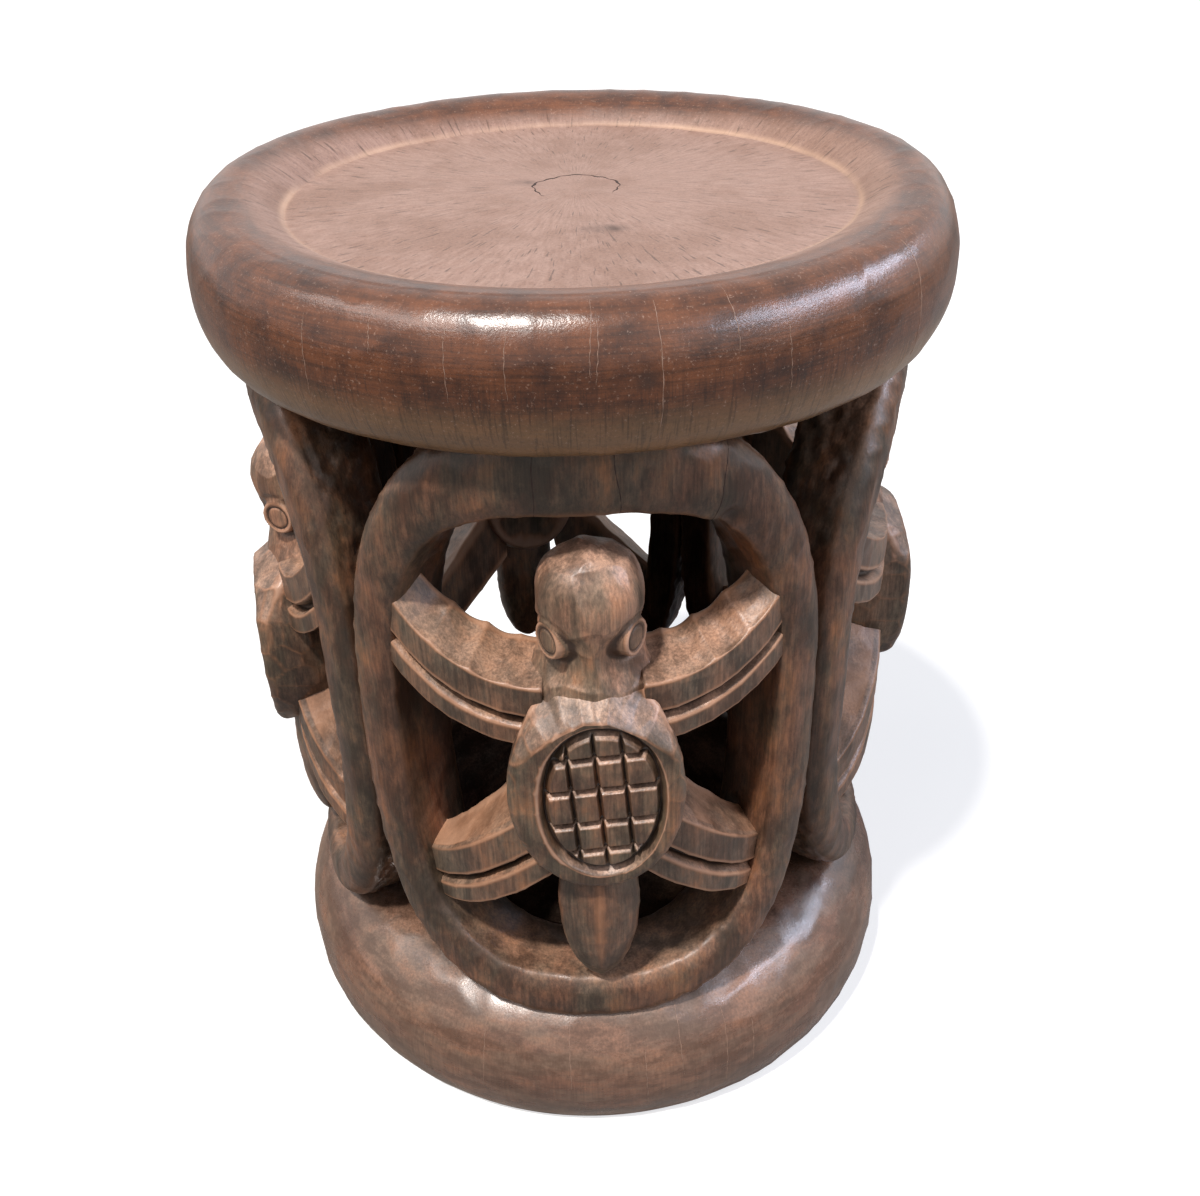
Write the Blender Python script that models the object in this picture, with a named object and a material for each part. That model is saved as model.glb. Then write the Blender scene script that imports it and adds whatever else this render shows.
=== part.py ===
# Carved ceremonial stool.
# A dished round seat and a rolled base are joined by four curved oval frames,
# one on each quarter of the log. Each frame holds a turtle by its four flippers.

import math
from collections import namedtuple

import bmesh
import bpy
from mathutils import Matrix

# Driving dimensions, in metres

CLEARANCE = 0.0003

LOG_RADIUS = 0.171

SEAT_THICKNESS = 0.067
SEAT_RIM_ROLL = 0.0195
SEAT_FLOOR_INSET = 0.044
SEAT_DISH_DEPTH = 0.013

BASE_TRIM = 0.002
BASE_HEIGHT = 0.078
BASE_ROLL_WIDTH = 0.095
BASE_BULGE_HEIGHT = 0.030

FRAME_SETBACK = 0.016
FRAME_DEPTH = 0.040
FRAME_SINK = 0.010
FRAME_CROWN_RISE = 0.013
FRAME_OUTER_DROP = 0.0075
FRAME_INNER_DROP = 0.005
TOP_BAR_HEIGHT = 0.032
BOTTOM_BAR_HEIGHT = 0.027
LIMB_FRONT_WIDTH = 0.026
LIMB_BACK_WIDTH = 0.020

TAIL_GAP = 0.006
TAIL_LENGTH = 0.071
TAIL_WIDTH = 0.038
TAIL_THICKNESS = 0.024
TAIL_PROUD = 0.008

SHELL_LENGTH = 0.108
SHELL_WIDTH = 0.077
SHELL_THICKNESS = 0.046
SHELL_PROUD = 0.0125
SHELL_BEVEL = 0.0045
SHELL_BACK_INSET = 0.012
SHOULDER_RISE = 0.009
SHOULDER_DEPTH = 0.013
FIELD_SIDE_MARGIN = 0.011
FIELD_FOOT_MARGIN = 0.0085
FIELD_TOP_MARGIN = 0.0155
TILE_FIELD_DEPTH = 0.004
TILE_RISE = 0.0032
TILE_GROOVE_WIDTH = 0.003
TILE_COLUMNS = 4
TILE_ROWS = 5

HEAD_LENGTH = 0.056
HEAD_WIDTH = 0.0465
HEAD_DEPTH = 0.0435
HEAD_PROUD = 0.006
HEAD_GAP = 0.015
EYE_RADIUS = 0.0083
EYE_BOSS = 0.0033
EYE_RISE = 0.0175

FLIPPER_GROOVE_DEPTH = 0.005
FLIPPER_GROOVE_WIDTH = 0.003
FLIPPER_BACK_INSET = 0.005
FLIPPER_TIP_DEPTH = 0.014
UPPER_ROOT_SETBACK = 0.0125
UPPER_ROOT_DROP = 0.0205
UPPER_ROOT_HEIGHT = 0.033
UPPER_TIP_SETBACK = 0.005
UPPER_TIP_RISE = 0.0305
UPPER_TIP_HEIGHT = 0.041
UPPER_BELLY = -0.002
UPPER_GROOVE_DROP = 0.0015
LOWER_ROOT_SETBACK = 0.0085
LOWER_ROOT_RISE = 0.022
LOWER_ROOT_HEIGHT = 0.040
LOWER_TIP_SETBACK = 0.012
LOWER_TIP_FALL = 0.050
LOWER_TIP_HEIGHT = 0.026
LOWER_BELLY = 0.004
LOWER_GROOVE_DROP = 0.0035

# Angles, in degrees. The carver's quarters are uneven: these are shared out over the full turn.

QUARTERS = {"front": 89.0, "right": 105.0, "back": 91.0, "left": 75.0}
EYE_TURN = 50.0
SHARP_ANGLE = 35.0

# Curve powers: 2 is an ellipse, more is squarer

ROLL_POWER = 2.2
FRAME_CROWN_POWER = 2.4
FRAME_FOOT_POWER = 2.8
FRAME_FRONT_POWER = 3.0
OPENING_POWER = 3.0
SHELL_SHOULDER_POWER = 3.0
SHELL_FOOT_POWER = 2.1
SHOULDER_POWER = 1.5
UPPER_BEND = 1.1
LOWER_BEND = 1.4

# Shares of a neighbouring size

HEAD_OUTLINE = ((-0.32, 1.33, 0.88), (0.0, 1.16, 0.84), (0.14, 1.05, 0.82), (0.27, 1.0, 0.84),
                (0.41, 0.97, 0.93), (0.55, 1.0, 1.0), (0.68, 1.0, 0.99), (0.80, 0.89, 0.85),
                (0.89, 0.71, 0.68), (0.96, 0.45, 0.46), (1.0, 0.15, 0.18))
TAIL_OUTLINE = ((-0.35, 0.70), (0.0, 0.86), (0.28, 1.0), (0.58, 0.90), (0.84, 0.58), (1.0, 0.12))
TAIL_SHOULDER = 0.75
EYE_SEAT = 0.85
EYE_TAPER = 0.85
SHELL_WAIST = 0.33
SHOULDER_SPAN = (0.45, 0.85)
FLIPPER_ROOT_COVER = 0.8
FLIPPER_BACK_HEIGHT = 0.84
FLIPPER_BURIAL = 0.5
SEAT_SLOPE_SHARES = (0.0, 0.3, 0.65)
FRAME_FRONT_SHARES = (0.0, 0.2, 0.5, 0.8, 1.0)

# Facet counts

TURNED_STEPS = 64
ROLL_STEPS = 10
FOOT_STEPS = 3
FRAME_STATIONS = 52
SHELL_STATIONS = 32
HEAD_STATIONS = 14
EYE_STATIONS = 12
FLIPPER_STEPS = 4

# Heights, stacked from the floor up

FRAME_BOTTOM = BASE_HEIGHT - FRAME_SINK
OPENING_BOTTOM = FRAME_BOTTOM + BOTTOM_BAR_HEIGHT
TAIL_TIP = OPENING_BOTTOM + TAIL_GAP
SHELL_BOTTOM = TAIL_TIP + TAIL_LENGTH
SHELL_MIDDLE = SHELL_BOTTOM + SHELL_LENGTH / 2
SHELL_TOP = SHELL_BOTTOM + SHELL_LENGTH
HEAD_TOP = SHELL_TOP + HEAD_LENGTH
OPENING_TOP = HEAD_TOP + HEAD_GAP
SEAT_UNDERSIDE = OPENING_TOP + TOP_BAR_HEIGHT
FRAME_TOP = SEAT_UNDERSIDE + FRAME_CROWN_RISE
STOOL_HEIGHT = SEAT_UNDERSIDE + SEAT_THICKNESS

# Distances from the log's axis

FRAME_FRONT = LOG_RADIUS - FRAME_SETBACK
FRAME_BACK = FRAME_FRONT - FRAME_DEPTH
SHELL_FRONT = FRAME_FRONT + SHELL_PROUD
SHELL_BACK = SHELL_FRONT - SHELL_THICKNESS
HEAD_AXIS = FRAME_FRONT + HEAD_PROUD - HEAD_DEPTH / 2
TAIL_AXIS = FRAME_FRONT + TAIL_PROUD - TAIL_THICKNESS / 2

# The two pairs of flippers: heights, front faces, and how each bends on its way out

Flipper = namedtuple("Flipper", "root_height tip_height root_tall tip_tall belly bend "
                                "root_front tip_front groove_drop")

FLIPPERS = {
    "upper": Flipper(SHELL_TOP - UPPER_ROOT_DROP, SHELL_TOP - UPPER_ROOT_DROP + UPPER_TIP_RISE,
                     UPPER_ROOT_HEIGHT, UPPER_TIP_HEIGHT, UPPER_BELLY, UPPER_BEND,
                     SHELL_FRONT - UPPER_ROOT_SETBACK, FRAME_FRONT - UPPER_TIP_SETBACK, UPPER_GROOVE_DROP),
    "lower": Flipper(SHELL_BOTTOM + LOWER_ROOT_RISE, SHELL_BOTTOM + LOWER_ROOT_RISE - LOWER_TIP_FALL,
                     LOWER_ROOT_HEIGHT, LOWER_TIP_HEIGHT, LOWER_BELLY, LOWER_BEND,
                     SHELL_FRONT - LOWER_ROOT_SETBACK, FRAME_FRONT - LOWER_TIP_SETBACK, LOWER_GROOVE_DROP),
}

# Colour and roughness of each kind of piece

WOOD_FINISHES = {
    "seat": ((0.21, 0.095, 0.06), 0.38),
    "base": ((0.20, 0.125, 0.095), 0.45),
    "frame": ((0.17, 0.095, 0.065), 0.55),
    "shell": ((0.18, 0.115, 0.08), 0.55),
    "head": ((0.23, 0.14, 0.10), 0.52),
    "flipper": ((0.21, 0.12, 0.08), 0.58),
    "tail": ((0.19, 0.11, 0.08), 0.55),
}


def blend(a, b, share):
    """The value that lies the given share of the way from a to b."""
    return a + (b - a) * share


def signed_power(value, power):
    """Power of a number's size that keeps its sign."""
    return math.copysign(abs(value) ** power, value)


def oval(turn, half_width, bottom, top, foot_power, crown_power):
    """Point of a superellipse, given as its side reach and its height."""
    power = crown_power if math.sin(turn) > 0 else foot_power
    across = signed_power(math.cos(turn), 2 / power)
    up = signed_power(math.sin(turn), 2 / power)
    return half_width * across, (bottom + top) / 2 + (top - bottom) / 2 * up


def oval_reach(height, half_width, bottom, top, foot_power, crown_power):
    """Side reach of the same superellipse at a given height."""
    up = (height - (bottom + top) / 2) / ((top - bottom) / 2)
    power = crown_power if up > 0 else foot_power
    return half_width * (1 - abs(up) ** power) ** (1 / power)


def around_log(angle, radius, height):
    """Point at an angle from the front, a distance from the log's axis and a height."""
    return (radius * math.sin(angle), -radius * math.cos(angle), height)


def new_object(name, mesh, parent=None):
    """Object that holds the mesh, in the scene's collection."""
    made = bpy.data.objects.new(name, mesh)
    made.parent = parent
    bpy.context.collection.objects.link(made)
    return made


def mesh_from(name, shape):
    """Mesh with its faces turned outwards, made from a finished bmesh."""
    bmesh.ops.recalc_face_normals(shape, faces=shape.faces)
    mesh = bpy.data.meshes.new(name)
    shape.to_mesh(mesh)
    shape.free()
    return mesh


def skin_rings(shape, rings, looped=False):
    """Quads between neighbouring rings of points. Returns the rings' vertices."""
    loops = [[shape.verts.new(point) for point in ring] for ring in rings]
    following = loops[1:] + loops[:1] if looped else loops[1:]
    for near, far in zip(loops, following):
        for i in range(len(near)):
            shape.faces.new((near[i - 1], near[i], far[i], far[i - 1]))
    return loops


def lofted(name, rings, looped=False):
    """Closed mesh through rings of points: capped at both ends, or joined end to end."""
    shape = bmesh.new()
    loops = skin_rings(shape, rings, looped)
    if not looped:
        shape.faces.new(loops[0])
        shape.faces.new(loops[-1])
    return mesh_from(name, shape)


def turned(name, profile):
    """Mesh of a half section turned about the log's axis. Points are (radius, height), axis to axis."""
    shape = bmesh.new()
    points = [shape.verts.new((radius, 0, height)) for radius, height in profile]
    edges = [shape.edges.new(pair) for pair in zip(points, points[1:])]
    bmesh.ops.spin(shape, geom=points + edges, cent=(0, 0, 0), axis=(0, 0, 1),
                   angle=2 * math.pi, steps=TURNED_STEPS, use_merge=True)
    bmesh.ops.remove_doubles(shape, verts=shape.verts, dist=CLEARANCE / 10)
    return mesh_from(name, shape)


def cutter(name, mesh, parent=None):
    """Hidden wire object that other pieces are cut with."""
    made = new_object(name, mesh, parent)
    made.hide_render = True
    made.display_type = "WIRE"
    return made


def carve(piece, tool, operation="DIFFERENCE"):
    """Boolean of a piece with a tool, kept on the piece as a modifier."""
    step = piece.modifiers.new(tool.name, "BOOLEAN")
    step.operation = operation
    step.solver = "EXACT"
    step.object = tool


def wooden_piece(name, mesh, wood, parent=None):
    """Shaded piece of one wood finish, carried by its side's empty."""
    if not mesh.materials:
        mesh.materials.append(wood)
        mesh.shade_smooth()
        mesh.set_sharp_from_angle(angle=math.radians(SHARP_ANGLE))
    return new_object(name, mesh, parent)


def wood_finish(kind):
    """Principled material in one kind's colour and gloss."""
    colour, roughness = WOOD_FINISHES[kind]
    wood = bpy.data.materials.new("carved_wood_" + kind)
    wood.use_nodes = True
    shader = wood.node_tree.nodes["Principled BSDF"]
    shader.inputs["Base Color"].default_value = (*colour, 1)
    shader.inputs["Roughness"].default_value = roughness
    shader.inputs["Metallic"].default_value = 0
    return wood


def roll_arc(centre, reach, middle, rise, start, stop, steps):
    """Points along a superellipse roll from one turn to another, as (radius, height)."""
    points = []
    for i in range(steps + 1):
        turn = blend(start, stop, i / steps)
        out = signed_power(math.cos(turn), 2 / ROLL_POWER)
        up = signed_power(math.sin(turn), 2 / ROLL_POWER)
        points.append((centre + reach * out, middle + rise * up))
    return points


def seat_profile():
    """Half section of the seat: dished floor, slope up to the crest, rolled rim, flat underside."""
    floor_radius = LOG_RADIUS - SEAT_FLOOR_INSET
    crest_radius = LOG_RADIUS - SEAT_RIM_ROLL
    floor = STOOL_HEIGHT - SEAT_DISH_DEPTH
    slope = []
    for share in SEAT_SLOPE_SHARES:
        ease = math.sin(share * math.pi / 2)
        slope.append((blend(floor_radius, crest_radius, share), blend(floor, STOOL_HEIGHT, ease)))
    half = SEAT_THICKNESS / 2
    rim = roll_arc(crest_radius, SEAT_RIM_ROLL, SEAT_UNDERSIDE + half, half,
                   math.pi / 2, -math.pi / 2, ROLL_STEPS)
    return [(0, floor)] + slope + rim + [(0, SEAT_UNDERSIDE)]


def base_profile(grow=0.0):
    """Half section of the base: its underside, the roll from there over the top, and a level middle."""
    reach = BASE_ROLL_WIDTH / 2
    centre = LOG_RADIUS - BASE_TRIM - reach
    rise = BASE_HEIGHT - BASE_BULGE_HEIGHT
    floor_turn = math.asin((BASE_BULGE_HEIGHT / rise) ** (ROLL_POWER / 2))
    roll = (centre, reach + grow, BASE_BULGE_HEIGHT, rise + grow)
    outside = roll_arc(*roll, -floor_turn, 0, FOOT_STEPS)
    over = roll_arc(*roll, 0, math.pi, ROLL_STEPS)
    return [(0, 0)] + outside + over[1:] + [(0, BASE_BULGE_HEIGHT)]


def frame_outline(half_sector):
    """Sizes of the frame's outer oval: half angle, bottom, top and the two powers."""
    half_angle = half_sector - CLEARANCE / 2 / FRAME_BACK
    return half_angle, FRAME_BOTTOM, FRAME_TOP, FRAME_FOOT_POWER, FRAME_CROWN_POWER


def opening_outline(half_sector, radius, limb_width):
    """Sizes of the frame's opening at one depth, where the limbs have a given width."""
    half_angle = half_sector - limb_width / radius
    return half_angle, OPENING_BOTTOM, OPENING_TOP, OPENING_POWER, OPENING_POWER


def grown(outline, spread, grow):
    """The same outline, wider by an angle and longer by a length at both ends."""
    half_angle, bottom, top, foot_power, crown_power = outline
    return half_angle + spread, bottom - grow, top + grow, foot_power, crown_power


def frame_rings(half_sector, grow=0.0):
    """Sections round the oval frame: back, outer side, rounded front, inner wall."""
    spread = grow / FRAME_BACK
    outer = grown(frame_outline(half_sector), spread, grow)
    front = grown(opening_outline(half_sector, FRAME_FRONT, LIMB_FRONT_WIDTH), -spread, -grow)
    back = grown(opening_outline(half_sector, FRAME_BACK, LIMB_BACK_WIDTH), -spread, -grow)
    rings = []
    for i in range(FRAME_STATIONS):
        turn = 2 * math.pi * i / FRAME_STATIONS
        side, side_z = oval(turn, *outer)
        lip, lip_z = oval(turn, *front)
        wall, wall_z = oval(turn, *back)
        ring = [around_log(side, FRAME_BACK - grow, side_z)]
        for share in FRAME_FRONT_SHARES:
            edge_drop = FRAME_OUTER_DROP if share < 0.5 else FRAME_INNER_DROP
            radius = FRAME_FRONT + grow - edge_drop * abs(2 * share - 1) ** FRAME_FRONT_POWER
            ring.append(around_log(blend(side, lip, share), radius, blend(side_z, lip_z, share)))
        ring.append(around_log(wall, FRAME_BACK - grow, wall_z))
        rings.append(ring)
    return rings


def shell_outline(shrink=0.0):
    """Sizes of the shell's outline, drawn in by an amount all round."""
    return (SHELL_WIDTH / 2 - shrink, SHELL_BOTTOM + shrink, SHELL_TOP - shrink,
            SHELL_FOOT_POWER, SHELL_SHOULDER_POWER)


def shoulder(turn):
    """Share of the shoulder's chip at a turn: none at the sides, all of it across the top."""
    begins, full = SHOULDER_SPAN
    return min(1, max(0, (math.sin(turn) - begins) / (full - begins))) ** SHOULDER_POWER


def shell_ring(shrink, out, chip=0.0, fall=0.0):
    """Shell's outline at a distance from the log's axis, its top lowered by a chip and set back by a fall."""
    ring = []
    for i in range(SHELL_STATIONS):
        turn = 2 * math.pi * i / SHELL_STATIONS
        across, height = oval(turn, *shell_outline(shrink + chip * shoulder(turn)))
        ring.append((across, fall * shoulder(turn) - out, height))
    return ring


def shell_rings(grow=0.0):
    """Outlines of the shell from its back to its flat front rim, its shoulder chipped to a slope."""
    back = shell_ring(SHELL_BACK_INSET - grow, SHELL_BACK - grow)
    waist = shell_ring(-grow, SHELL_BACK + SHELL_WAIST * SHELL_THICKNESS)
    side = shell_ring(-grow, SHELL_FRONT - SHELL_BEVEL, fall=SHOULDER_DEPTH)
    rim = shell_ring(SHELL_BEVEL - grow, SHELL_FRONT + grow, chip=SHOULDER_RISE)
    return [back, waist, side, rim]


def field_ring(out):
    """Outline of the tile field at a distance from the log's axis."""
    turns = [2 * math.pi * i / SHELL_STATIONS for i in range(SHELL_STATIONS)]
    sizes = (SHELL_WIDTH / 2 - FIELD_SIDE_MARGIN, SHELL_BOTTOM + FIELD_FOOT_MARGIN,
             SHELL_TOP - FIELD_TOP_MARGIN, SHELL_FOOT_POWER, SHELL_FOOT_POWER)
    points = [oval(turn, *sizes) for turn in turns]
    return [(across, -out, height) for across, height in points]


def shell_mesh():
    """Shell with its sunk oval field, cut into tiles by gouged grooves."""
    floor = SHELL_FRONT - TILE_FIELD_DEPTH
    shape = bmesh.new()
    loops = skin_rings(shape, shell_rings() + [field_ring(SHELL_FRONT), field_ring(floor)])
    shape.faces.new(loops[0])
    tiles = [shape.faces.new(loops[-1])]
    bmesh.ops.recalc_face_normals(shape, faces=shape.faces)

    field_width = SHELL_WIDTH - 2 * FIELD_SIDE_MARGIN
    field_length = SHELL_LENGTH - FIELD_FOOT_MARGIN - FIELD_TOP_MARGIN
    columns = [field_width * (i / TILE_COLUMNS - 0.5) for i in range(1, TILE_COLUMNS)]
    rows = [SHELL_BOTTOM + FIELD_FOOT_MARGIN + field_length * i / TILE_ROWS for i in range(1, TILE_ROWS)]
    cuts = [((x, 0, 0), (1, 0, 0)) for x in columns] + [((0, 0, z), (0, 0, 1)) for z in rows]
    for point, normal in cuts:
        edges = {edge for tile in tiles for edge in tile.edges}
        verts = {vert for tile in tiles for vert in tile.verts}
        bmesh.ops.bisect_plane(shape, geom=tiles + list(edges) + list(verts), dist=CLEARANCE / 3,
                               plane_co=point, plane_no=normal)
        tiles = [face for face in shape.faces
                 if all(abs(vert.co.y + floor) < CLEARANCE / 3 for vert in face.verts)]
    smallest = (3 * TILE_GROOVE_WIDTH) ** 2
    wide_tiles = [tile for tile in tiles if tile.calc_area() > smallest]
    bmesh.ops.inset_individual(shape, faces=wide_tiles, thickness=TILE_GROOVE_WIDTH / 2,
                               depth=TILE_RISE, use_even_offset=True)
    return mesh_from("turtle_shell", shape)


def head_rings(grow=0.0):
    """Bulb head on its broad neck. The outline gives shares of the length, the width and the depth."""
    rings = []
    for along, width_share, depth_share in HEAD_OUTLINE:
        height = SHELL_TOP + along * HEAD_LENGTH
        ring = []
        for i in range(HEAD_STATIONS):
            turn = 2 * math.pi * (i + 0.5) / HEAD_STATIONS
            across = (width_share * HEAD_WIDTH / 2 + grow) * math.sin(turn)
            out = HEAD_AXIS + (depth_share * HEAD_DEPTH / 2 + grow) * math.cos(turn)
            ring.append((across, -out, height))
        rings.append(ring)
    return rings


def eye_mesh(hand):
    """Disc eye, half sunk in the head's cheek and turned half sideways."""
    look = math.radians(EYE_TURN) * hand
    cheek = EYE_SEAT * (HEAD_WIDTH + HEAD_DEPTH) / 4
    shape = bmesh.new()
    bmesh.ops.create_cone(shape, cap_ends=True, segments=EYE_STATIONS, radius1=EYE_RADIUS,
                          radius2=EYE_RADIUS * EYE_TAPER, depth=EYE_BOSS * 2)
    outwards = Matrix.Rotation(look, 4, "Z") @ Matrix.Rotation(math.pi / 2, 4, "X")
    place = (cheek * math.sin(look), -HEAD_AXIS - cheek * math.cos(look), SHELL_TOP + EYE_RISE)
    bmesh.ops.transform(shape, matrix=Matrix.Translation(place) @ outwards, verts=shape.verts)
    return mesh_from("eye", shape)


def tail_rings(grow=0.0):
    """Leaf tail with a ridge down its front, drawn by shares of the length and of the width there."""
    rings = []
    for along, share in TAIL_OUTLINE:
        height = SHELL_BOTTOM - along * TAIL_LENGTH
        half = share * TAIL_WIDTH / 2 + grow
        ridge = TAIL_AXIS + share * TAIL_THICKNESS / 2 + grow
        cheek = TAIL_AXIS + share * TAIL_THICKNESS / 4 + grow
        back = TAIL_AXIS - share * TAIL_THICKNESS / 2 - grow
        corner = half * TAIL_SHOULDER
        rings.append([(0, -ridge, height), (corner, -cheek, height), (half, -TAIL_AXIS, height),
                      (half / 2, -back, height), (-half / 2, -back, height), (-half, -TAIL_AXIS, height),
                      (-corner, -cheek, height)])
    return rings


def flipper_section(angle, height, tall, front, back, groove_drop):
    """Section of a flipper on an upright plane through the log's axis, its front split by a groove."""
    lip = FLIPPER_GROOVE_WIDTH / 2
    half = tall / 2
    back_half = half * FLIPPER_BACK_HEIGHT
    corners = ((front, half), (front, lip - groove_drop), (front - FLIPPER_GROOVE_DEPTH, -groove_drop),
               (front, -lip - groove_drop), (front, -half), (back, -back_half), (back, back_half))
    return [around_log(angle, radius, height + up) for radius, up in corners]


def flipper_mesh(name, hand, half_sector, form):
    """Flipper from inside the shell, out past its edge, to inside the frame's limb."""
    root_back = SHELL_BACK + FLIPPER_BACK_INSET
    tip_back = form.tip_front - FLIPPER_TIP_DEPTH
    root_reach = FLIPPER_ROOT_COVER * oval_reach(form.root_height, *shell_outline())
    root_angle = math.asin(root_reach / form.root_front)
    lip_angle = oval_reach(form.tip_height, *opening_outline(half_sector, FRAME_FRONT, LIMB_FRONT_WIDTH))
    wall_angle = oval_reach(form.tip_height, *opening_outline(half_sector, FRAME_BACK, LIMB_BACK_WIDTH))
    tip_angle = max(lip_angle, wall_angle)
    skin_angle = oval_reach(form.tip_height, *frame_outline(half_sector))
    buried_angle = blend(tip_angle, skin_angle, FLIPPER_BURIAL)

    heart = blend(SHELL_MIDDLE, form.root_height, 0.6)
    rings = [flipper_section(hand * root_angle / 2, heart, form.root_tall / 2,
                             blend(root_back, form.root_front, 0.7), blend(root_back, form.root_front, 0.3),
                             form.groove_drop / 2)]
    for i in range(FLIPPER_STEPS + 1):
        share = i / FLIPPER_STEPS
        climb = share ** form.bend if form.tip_height > form.root_height else 1 - (1 - share) ** form.bend
        tall = blend(form.root_tall, form.tip_tall, share) + form.belly * 4 * share * (1 - share)
        angle = hand * blend(root_angle, tip_angle, share)
        height = blend(form.root_height, form.tip_height, climb)
        front = blend(form.root_front, form.tip_front, share ** 2)
        back = blend(root_back, tip_back, share ** 2)
        rings.append(flipper_section(angle, height, tall, front, back, form.groove_drop))
    rings.append(flipper_section(hand * buried_angle, form.tip_height, form.tip_tall / 2,
                                 blend(tip_back, form.tip_front, 0.8), tip_back, form.groove_drop / 2))
    return lofted(name, rings)


def build_side(side, half_sector, turn, shared, woods, base_cutter, seat_cutter):
    """One quarter of the log: its oval frame, and the turtle that the frame holds."""
    stand = new_object("side_" + side, None)
    stand.rotation_euler = (0, 0, turn)

    frame_room = lofted("frame_clearance", frame_rings(half_sector, CLEARANCE), True)
    frame_tool = cutter("frame_clearance_" + side, frame_room, stand)
    shell_tool = cutter("shell_clearance_" + side, shared["shell_clearance"], stand)
    head_tool = cutter("head_clearance_" + side, shared["head_clearance"], stand)
    tail_tool = cutter("tail_clearance_" + side, shared["tail_clearance"], stand)

    frame_loop = lofted("oval_frame", frame_rings(half_sector), True)
    frame = wooden_piece("oval_frame_" + side, frame_loop, woods["frame"], stand)
    carve(frame, seat_cutter)
    carve(frame, base_cutter)

    wooden_piece("turtle_shell_" + side, shared["shell"], woods["shell"], stand)
    head = wooden_piece("turtle_head_" + side, shared["head"], woods["head"], stand)
    for hand in (-1, 1):
        carve(head, cutter("eye_%d_%s" % (hand, side), shared["eyes"][hand], stand), "UNION")
    carve(head, shell_tool)
    tail = wooden_piece("turtle_tail_" + side, shared["tail"], woods["tail"], stand)
    carve(tail, shell_tool)

    for level, form in FLIPPERS.items():
        neighbour = head_tool if level == "upper" else tail_tool
        for flank, hand in (("left", -1), ("right", 1)):
            name = "%s_%s_flipper" % (level, flank)
            mesh = flipper_mesh(name, hand, half_sector, form)
            flipper = wooden_piece(name + "_" + side, mesh, woods["flipper"], stand)
            for tool in (shell_tool, frame_tool, neighbour):
                carve(flipper, tool)


def build():
    """Seat, base, and the four frames with their turtles."""
    for item in list(bpy.data.objects):
        bpy.data.objects.remove(item)
    woods = {kind: wood_finish(kind) for kind in WOOD_FINISHES}

    wooden_piece("seat_top", turned("seat_top", seat_profile()), woods["seat"])
    wooden_piece("base_ring", turned("base_ring", base_profile()), woods["base"])

    base_cutter = cutter("base_clearance", turned("base_clearance", base_profile(CLEARANCE)))
    slab = bmesh.new()
    bmesh.ops.create_cube(slab, size=4 * LOG_RADIUS)
    bmesh.ops.translate(slab, verts=slab.verts, vec=(0, 0, SEAT_UNDERSIDE - CLEARANCE + 2 * LOG_RADIUS))
    seat_cutter = cutter("seat_clearance", mesh_from("seat_clearance", slab))

    shared = {
        "shell": shell_mesh(),
        "head": lofted("turtle_head", head_rings()),
        "tail": lofted("turtle_tail", tail_rings()),
        "eyes": {hand: eye_mesh(hand) for hand in (-1, 1)},
        "shell_clearance": lofted("shell_clearance", shell_rings(CLEARANCE)),
        "head_clearance": lofted("head_clearance", head_rings(CLEARANCE)),
        "tail_clearance": lofted("tail_clearance", tail_rings(CLEARANCE)),
    }
    full = sum(QUARTERS.values())
    turn = -math.pi * QUARTERS["front"] / full
    for side, quarter in QUARTERS.items():
        half_sector = math.pi * quarter / full
        build_side(side, half_sector, turn + half_sector, shared, woods, base_cutter, seat_cutter)
        turn += 2 * half_sector


build()
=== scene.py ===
import math

import bpy
import numpy as np
from mathutils import Matrix


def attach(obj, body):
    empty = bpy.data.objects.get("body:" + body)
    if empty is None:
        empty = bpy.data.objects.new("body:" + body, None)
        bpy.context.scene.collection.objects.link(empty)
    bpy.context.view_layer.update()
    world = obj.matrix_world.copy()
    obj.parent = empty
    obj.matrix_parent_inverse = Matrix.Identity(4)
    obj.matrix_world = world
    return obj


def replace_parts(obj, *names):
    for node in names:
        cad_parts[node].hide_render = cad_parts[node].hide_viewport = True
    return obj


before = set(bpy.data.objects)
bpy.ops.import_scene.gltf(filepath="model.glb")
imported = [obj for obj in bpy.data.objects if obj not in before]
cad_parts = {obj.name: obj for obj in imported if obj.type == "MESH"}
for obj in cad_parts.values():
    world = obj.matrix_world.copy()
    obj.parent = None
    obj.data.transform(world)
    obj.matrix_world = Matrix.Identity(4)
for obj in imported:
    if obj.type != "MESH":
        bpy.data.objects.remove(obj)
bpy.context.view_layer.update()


# BASE RING
# The lowest slice of the log, left as a thick ring and rounded over with the adze. One piece of dense
# reddish hardwood with the rest of the stool, waxed, with seasoning cracks up its face that the wax has
# filled.

def linear(code):
    """Linear RGBA of an sRGB hex colour."""
    share = np.array([int(code[i:i + 2], 16) for i in (1, 3, 5)]) / 255
    rgb = np.where(share <= 0.04045, share / 12.92, ((share + 0.055) / 1.055) ** 2.4)
    return (*rgb.tolist(), 1.0)


def dice(cell, seed):
    """Fixed random number from 0 to 1 for each cube of space: its whole-number place, multiplied out and
    mixed."""
    x, y, z = np.moveaxis(cell, -1, 0)
    mixed = (x * 73856093) ^ (y * 19349663) ^ (z * 83492791) ^ (seed * 40503171)
    mixed = ((mixed ^ (mixed >> 13)) & 0x7FFFFFFF) * 1274126177 & 0x7FFFFFFF
    mixed = ((mixed ^ (mixed >> 15)) & 0x7FFFFFFF) * 1911520717 & 0x7FFFFFFF
    return ((mixed ^ (mixed >> 12)) & 0xFFFFFF) / 0xFFFFFF


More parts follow.
